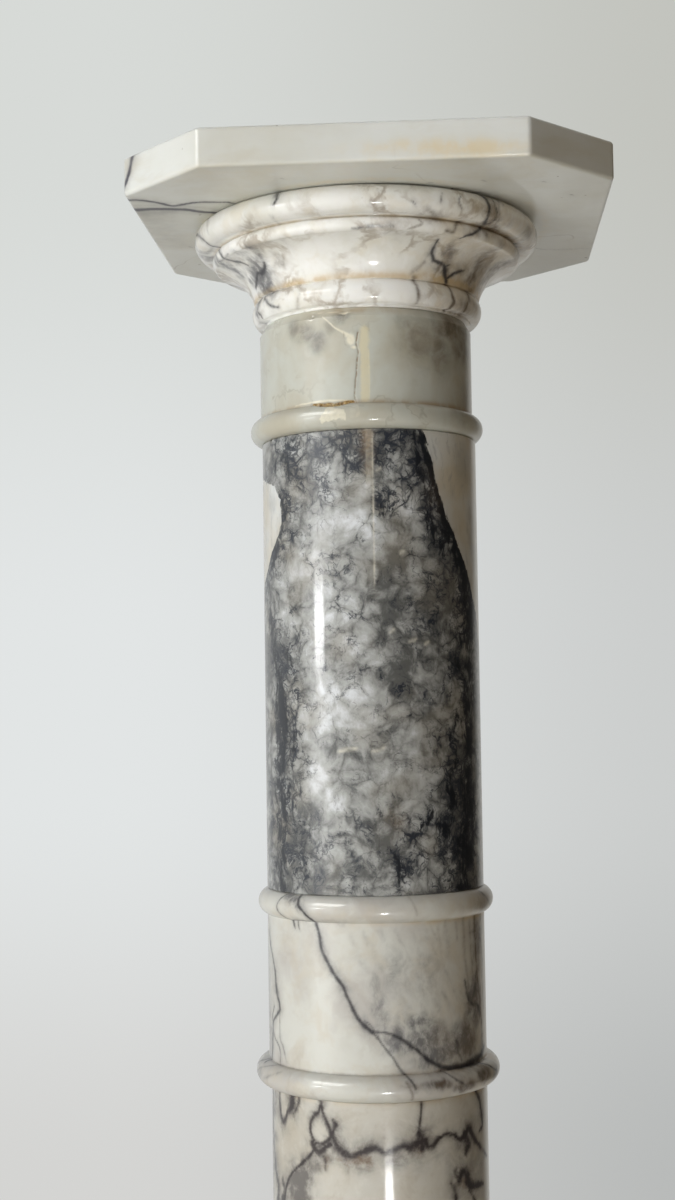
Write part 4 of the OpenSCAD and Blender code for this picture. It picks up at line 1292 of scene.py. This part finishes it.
    # long veins further down the front
    for path in ([(-64, 166), (-60, 150), (-66, 136), (-59, 121), (-62, 104), (-51, 92), (-54, 76), (-46, 60),
                  (-51, 41), (-45, 22), (-48, -1)], [(56, 158), (60, 141), (52, 127), (58, 111), (48, 98),
                                                     (52, 83), (41, 70), (45, 52), (36, 38), (41, 19),
                                                     (35, -1)], [(-54, 76), (-43, 71), (-33, 79), (-23, 70),
                                                                 (-13, 65), (-3, 71), (7, 63), (18, 69),
                                                                 (28, 61), (41, 70)],
                 [(7, 63), (4, 50), (12, 39), (7, 25), (14, 11), (12, -1)],
                 [(-23, 70), (-26, 84), (-19, 93), (-22, 104)]):
        line("ink", [(a, b, 1.2 + 0.6 * (k % 3 == 1)) for k, (a, b) in enumerate(path)], 0.95, waves=2)
    drum.blot("smoke", [
        (-30, 130, 10, 14, 0.4), (30, 110, 12, 14, 0.4), (-40, 60, 12, 16, 0.5), (20, 46, 12, 14, 0.4),
        (60, 100, 12, 20, 0.4),
    ], waves=3)
    drum.add("wild", ramp(np.abs(degrees), 72, 96))
    # a browner right side, partly stain and partly painted shade, and amber along the top under the ring
    right_stain_and_shade = 0.16 * ramp(degrees, 20, 60) * ramp(-degrees, -130, -90)
    drum.add("amber", 0.35 * hump(up, 246, 2.5) + right_stain_and_shade)
    drum.wear([0, DRUM_HEIGHT], 1, 0.45, 6, 0.3)
    return drum.build("brown_veined_marble", marble)


# ---------------------------------------------------------------- foot

def make_foot(marble):
    side = np.vstack([
        swelling(107, 92.4, 20, 0, 40),
        swelling(95, 92.4, 8, 20, 16),
        dipping((91.6, 28), (60, 52), 5, 34),
        straight([(60, 52.2), (60, 103.9)], 1.3),
        swelling(66, 59.7, 14, 104, 34),
    ])
    foot = turned_stone("foot", round_the_shaft(side, 52, 117.5), FOOT_COLUMNS)
    degrees, up = foot.degrees, foot.along
    for turn, lean in ((-64, 20), (-22, -16), (18, 30), (62, -12), (104, 24), (150, -20), (196, 26),
                       (236, -18)):
        foot.line("ink", [
            (turn, 118, 0.8), (turn + 0.3 * lean, 100, 0.9), (turn + 0.5 * lean, 82, 0.8),
            (turn + 0.9 * lean, 62, 1), (turn + lean, 46, 1.1), (turn + 1.3 * lean, 30, 1),
            (turn + 1.2 * lean, 12, 1.2), (turn + 1.4 * lean, 1, 0.9),
        ], 0.9)
        foot.line("ink", [
            (turn + 0.9 * lean, 62, 0.7), (turn + 0.2 * lean, 44, 0.8), (turn - 0.1 * lean, 24, 0.7),
        ], 0.7)
        foot.blot("smoke", [(turn + lean, 58, 12, 14, 0.5), (turn + 0.4 * lean, 96, 9, 14, 0.3)], waves=3)
    grooves = hump(up, 20, 1.6) + hump(up, 28.3, 1.4) + 0.8 * hump(up, 103.8, 1.4)
    foot.add("amber", 0.5 * grooves)
    foot.add("brown", 0.3 * hump(up, 0, 1.2))
    return foot.build("veined_white_marble", marble)


# ---------------------------------------------------------------- room, lamps and camera

def room():
    """A pale round floor in a plain pale room. The camera and the polish see the room as it is painted,
    brighter at the left; the light that it gives is weak and warm."""
    radius, sides = 1.1, 64
    turn = np.linspace(0, 2 * math.pi, sides + 1)[:-1]
    rim = np.stack([radius * np.cos(turn), radius * np.sin(turn), 0 * turn], 1)
    mesh = bpy.data.meshes.new("floor")
    fan = [(k, (k + 1) % sides, sides) for k in range(sides)]
    mesh.from_pydata(np.vstack([rim, [[0, 0, 0]]]).tolist(), [], fan)
    floor = bpy.data.objects.new("floor", mesh)
    bpy.context.scene.collection.objects.link(floor)
    mix = Recipe("pale_floor")
    tone = mix.blend(mix.span(mix.noise(0.4, 4.0, 0.5), 0.3, 0.7), paint(214, 211, 205), paint(208, 205, 199))
    mix.feed(mix.stone.inputs["Base Color"], tone)
    mix.stone.inputs["Roughness"].default_value = 0.8
    mix.stone.inputs["Specular IOR Level"].default_value = 0.0
    glow = mix.made("ShaderNodeEmission", tone, 0.95)
    share = mix.times(mix.shown(), 0.6)
    both = mix.made("ShaderNodeMixShader", share, mix.stone.outputs[0], glow.outputs[0])
    mix.feed(mix.out.inputs[0], both.outputs[0])
    mesh.materials.append(mix.material)

    world = bpy.data.worlds.new("pale_room")
    bpy.context.scene.world = world
    mix = Mixer(world)
    facing = mix.made("ShaderNodeSeparateXYZ", mix.node("ShaderNodeTexCoord").outputs["Generated"])
    to_right, to_back, upward = facing.outputs
    aside = mix.span(to_right, -0.2, 0.16)
    low_wall = mix.blend(aside, paint(212, 212, 210), paint(183, 185, 184))
    level_wall = mix.blend(aside, paint(226, 229, 229), paint(203, 205, 204))
    high_wall = mix.blend(aside, paint(215, 218, 215), paint(194, 195, 189))
    wall = mix.blend(mix.span(upward, -0.26, -0.04), low_wall, level_wall)
    wall = mix.blend(mix.span(upward, 0.04, 0.32), wall, high_wall)
    room_right = mix.blend(mix.span(to_back, 0.72, 0.93), paint(44, 42, 39), paint(190, 190, 186))
    polish = mix.blend(mix.span(to_right, -0.3, 0.12), paint(206, 208, 208), room_right)
    in_polish = mix.node("ShaderNodeLightPath").outputs["Is Glossy Ray"]
    painted = mix.made("ShaderNodeBackground", mix.blend(in_polish, wall, polish), 1.0)
    light = mix.made("ShaderNodeBackground", ROOM_LIGHT, ROOM_STRENGTH)
    both = mix.made("ShaderNodeMixShader", mix.shown(), light.outputs[0], painted.outputs[0])
    mix.made("ShaderNodeOutputWorld", both.outputs[0])


ROOM_LIGHT = (1.0, 0.8, 0.58, 1.0)
ROOM_STRENGTH = 0.09


def lamp(name, place, target, wide, high, watts, colour, in_polish=False, in_light=True):
    """A soft rectangular lamp that faces the target. It is never seen itself, and it may be left out of the
    polish, or show nowhere else."""
    data = bpy.data.lights.new(name, "AREA")
    data.shape = "RECTANGLE"
    data.size, data.size_y, data.energy, data.color = wide, high, watts, colour
    made = bpy.data.objects.new(name, data)
    bpy.context.scene.collection.objects.link(made)
    place, target = np.array(place), np.array(target)
    aim = Vector((target - place).tolist())
    made.location = place.tolist()
    made.rotation_euler = aim.to_track_quat("-Z", "Y").to_euler()
    made.visible_camera = False
    made.visible_glossy = in_polish
    made.visible_diffuse = in_light


def lamps():
    """A small window lamp and a broad soft one, both left of the front, light thrown up from the floor at the
    left, and weak fills from the right, the ceiling and behind. Three more lamps show in the polish only: a
    low strip in front, the glow round the window, and a high window at the left."""
    day, daylight = (0.98, 0.99, 1.0), (0.95, 0.97, 1.0)
    lamp("window_lamp", (-1.65, -1.22, 0.75), (0, 0, 0.65), 0.38, 0.14, 3.5, day, in_polish=True)
    lamp("soft_left_lamp", (-1.3, -1.82, 1.2), (0, 0, 0.85), 0.9, 0.9, 24.5, day)
    lamp("floor_bounce_lamp", (-0.95, -0.8, 0.03), (-0.1, -0.1, 0.9), 1.0, 1.0, 16.5, (1.0, 0.98, 0.9))
    lamp("right_fill_lamp", (0.6, -0.95, 0.5), (0, 0, 0.45), 0.6, 0.6, 1.15, (1.0, 0.9, 0.74))
    lamp("ceiling_lamp", (0, 0, 2.1), (0, 0.001, 0), 0.5, 0.5, 6, (1.0, 0.99, 0.96))
    lamp("back_fill_lamp", (0.35, 1.6, 0.86), (0, 0, 0.5), 0.9, 0.9, 8.5, (1.0, 0.98, 0.94))
    polish_only = {"in_polish": True, "in_light": False}
    lamp("low_strip_lamp", (0.15, -0.79, 0.09), (0, 0, 0.3), 0.1, 0.16, 2.0, (1.0, 1.0, 1.0), **polish_only)
    lamp("window_glow_lamp", (-1.72, -1.28, 0.78), (0, 0, 0.66), 0.9, 1.5, 5, daylight, **polish_only)
    lamp("high_window_lamp", (-1.45, -1.2, 1.85), (0, 0, 0.6), 1.2, 0.8, 26, (1.0, 1.0, 0.98), **polish_only)


def camera():
    """Stands 0.98 m before the column, 2.6 degrees to its right, at 0.61 m, and looks 3.6 degrees up."""
    distance, around, height = 0.97525, math.radians(2.6), 0.6088
    rise, aside, roll = math.radians(3.57), math.radians(-1.11), math.radians(0.80)
    data = bpy.data.cameras.new("camera")
    data.lens, data.sensor_width = 52.15, 36
    data.clip_start, data.clip_end = 0.05, 20
    made = bpy.data.objects.new("camera", data)
    bpy.context.scene.collection.objects.link(made)
    level = np.array([math.cos(aside), -math.sin(aside), 0])
    ahead = np.array([math.sin(aside), math.cos(aside), 0])
    forward = ahead * math.cos(rise) + np.array([0, 0, math.sin(rise)])
    upward = -ahead * math.sin(rise) + np.array([0, 0, math.cos(rise)])
    right = level * math.cos(roll) - upward * math.sin(roll)
    above = level * math.sin(roll) + upward * math.cos(roll)
    turn = np.array([[math.cos(around), -math.sin(around), 0], [math.sin(around), math.cos(around), 0],
                     [0, 0, 1]])
    axes = turn @ np.stack([right, above, -forward], 1)
    spot = turn @ np.array([0, -distance, height])
    made.matrix_world = Matrix([[*axes[row], spot[row]] for row in range(3)] + [[0, 0, 0, 1]])
    bpy.context.scene.camera = made


# ---------------------------------------------------------------- all together

alabaster = ivory_alabaster("ivory_alabaster")
veined = white_marble("veined_white_marble", body=paint(240, 241, 240), cloudy=paint(226, 226, 221),
                      warm=paint(220, 213, 196), vein=paint(38, 36, 42), swirls=0.66)
duller = white_marble("dull_white_marble", body=paint(208, 209, 204), cloudy=paint(190, 188, 184),
                      warm=paint(196, 188, 172), vein=paint(36, 34, 40), swirls=0.16)
make_top_plate(alabaster)
make_capital(veined)
make_neck(mended_neck_marble())
make_upper_drum(clouded_grey_marble())
make_ring_drum(duller)
make_lower_drum(brown_veined_cream())
make_foot(veined)
make_plinth(alabaster)
room()
lamps()
camera()
bpy.context.scene.view_settings.view_transform = "Standard"
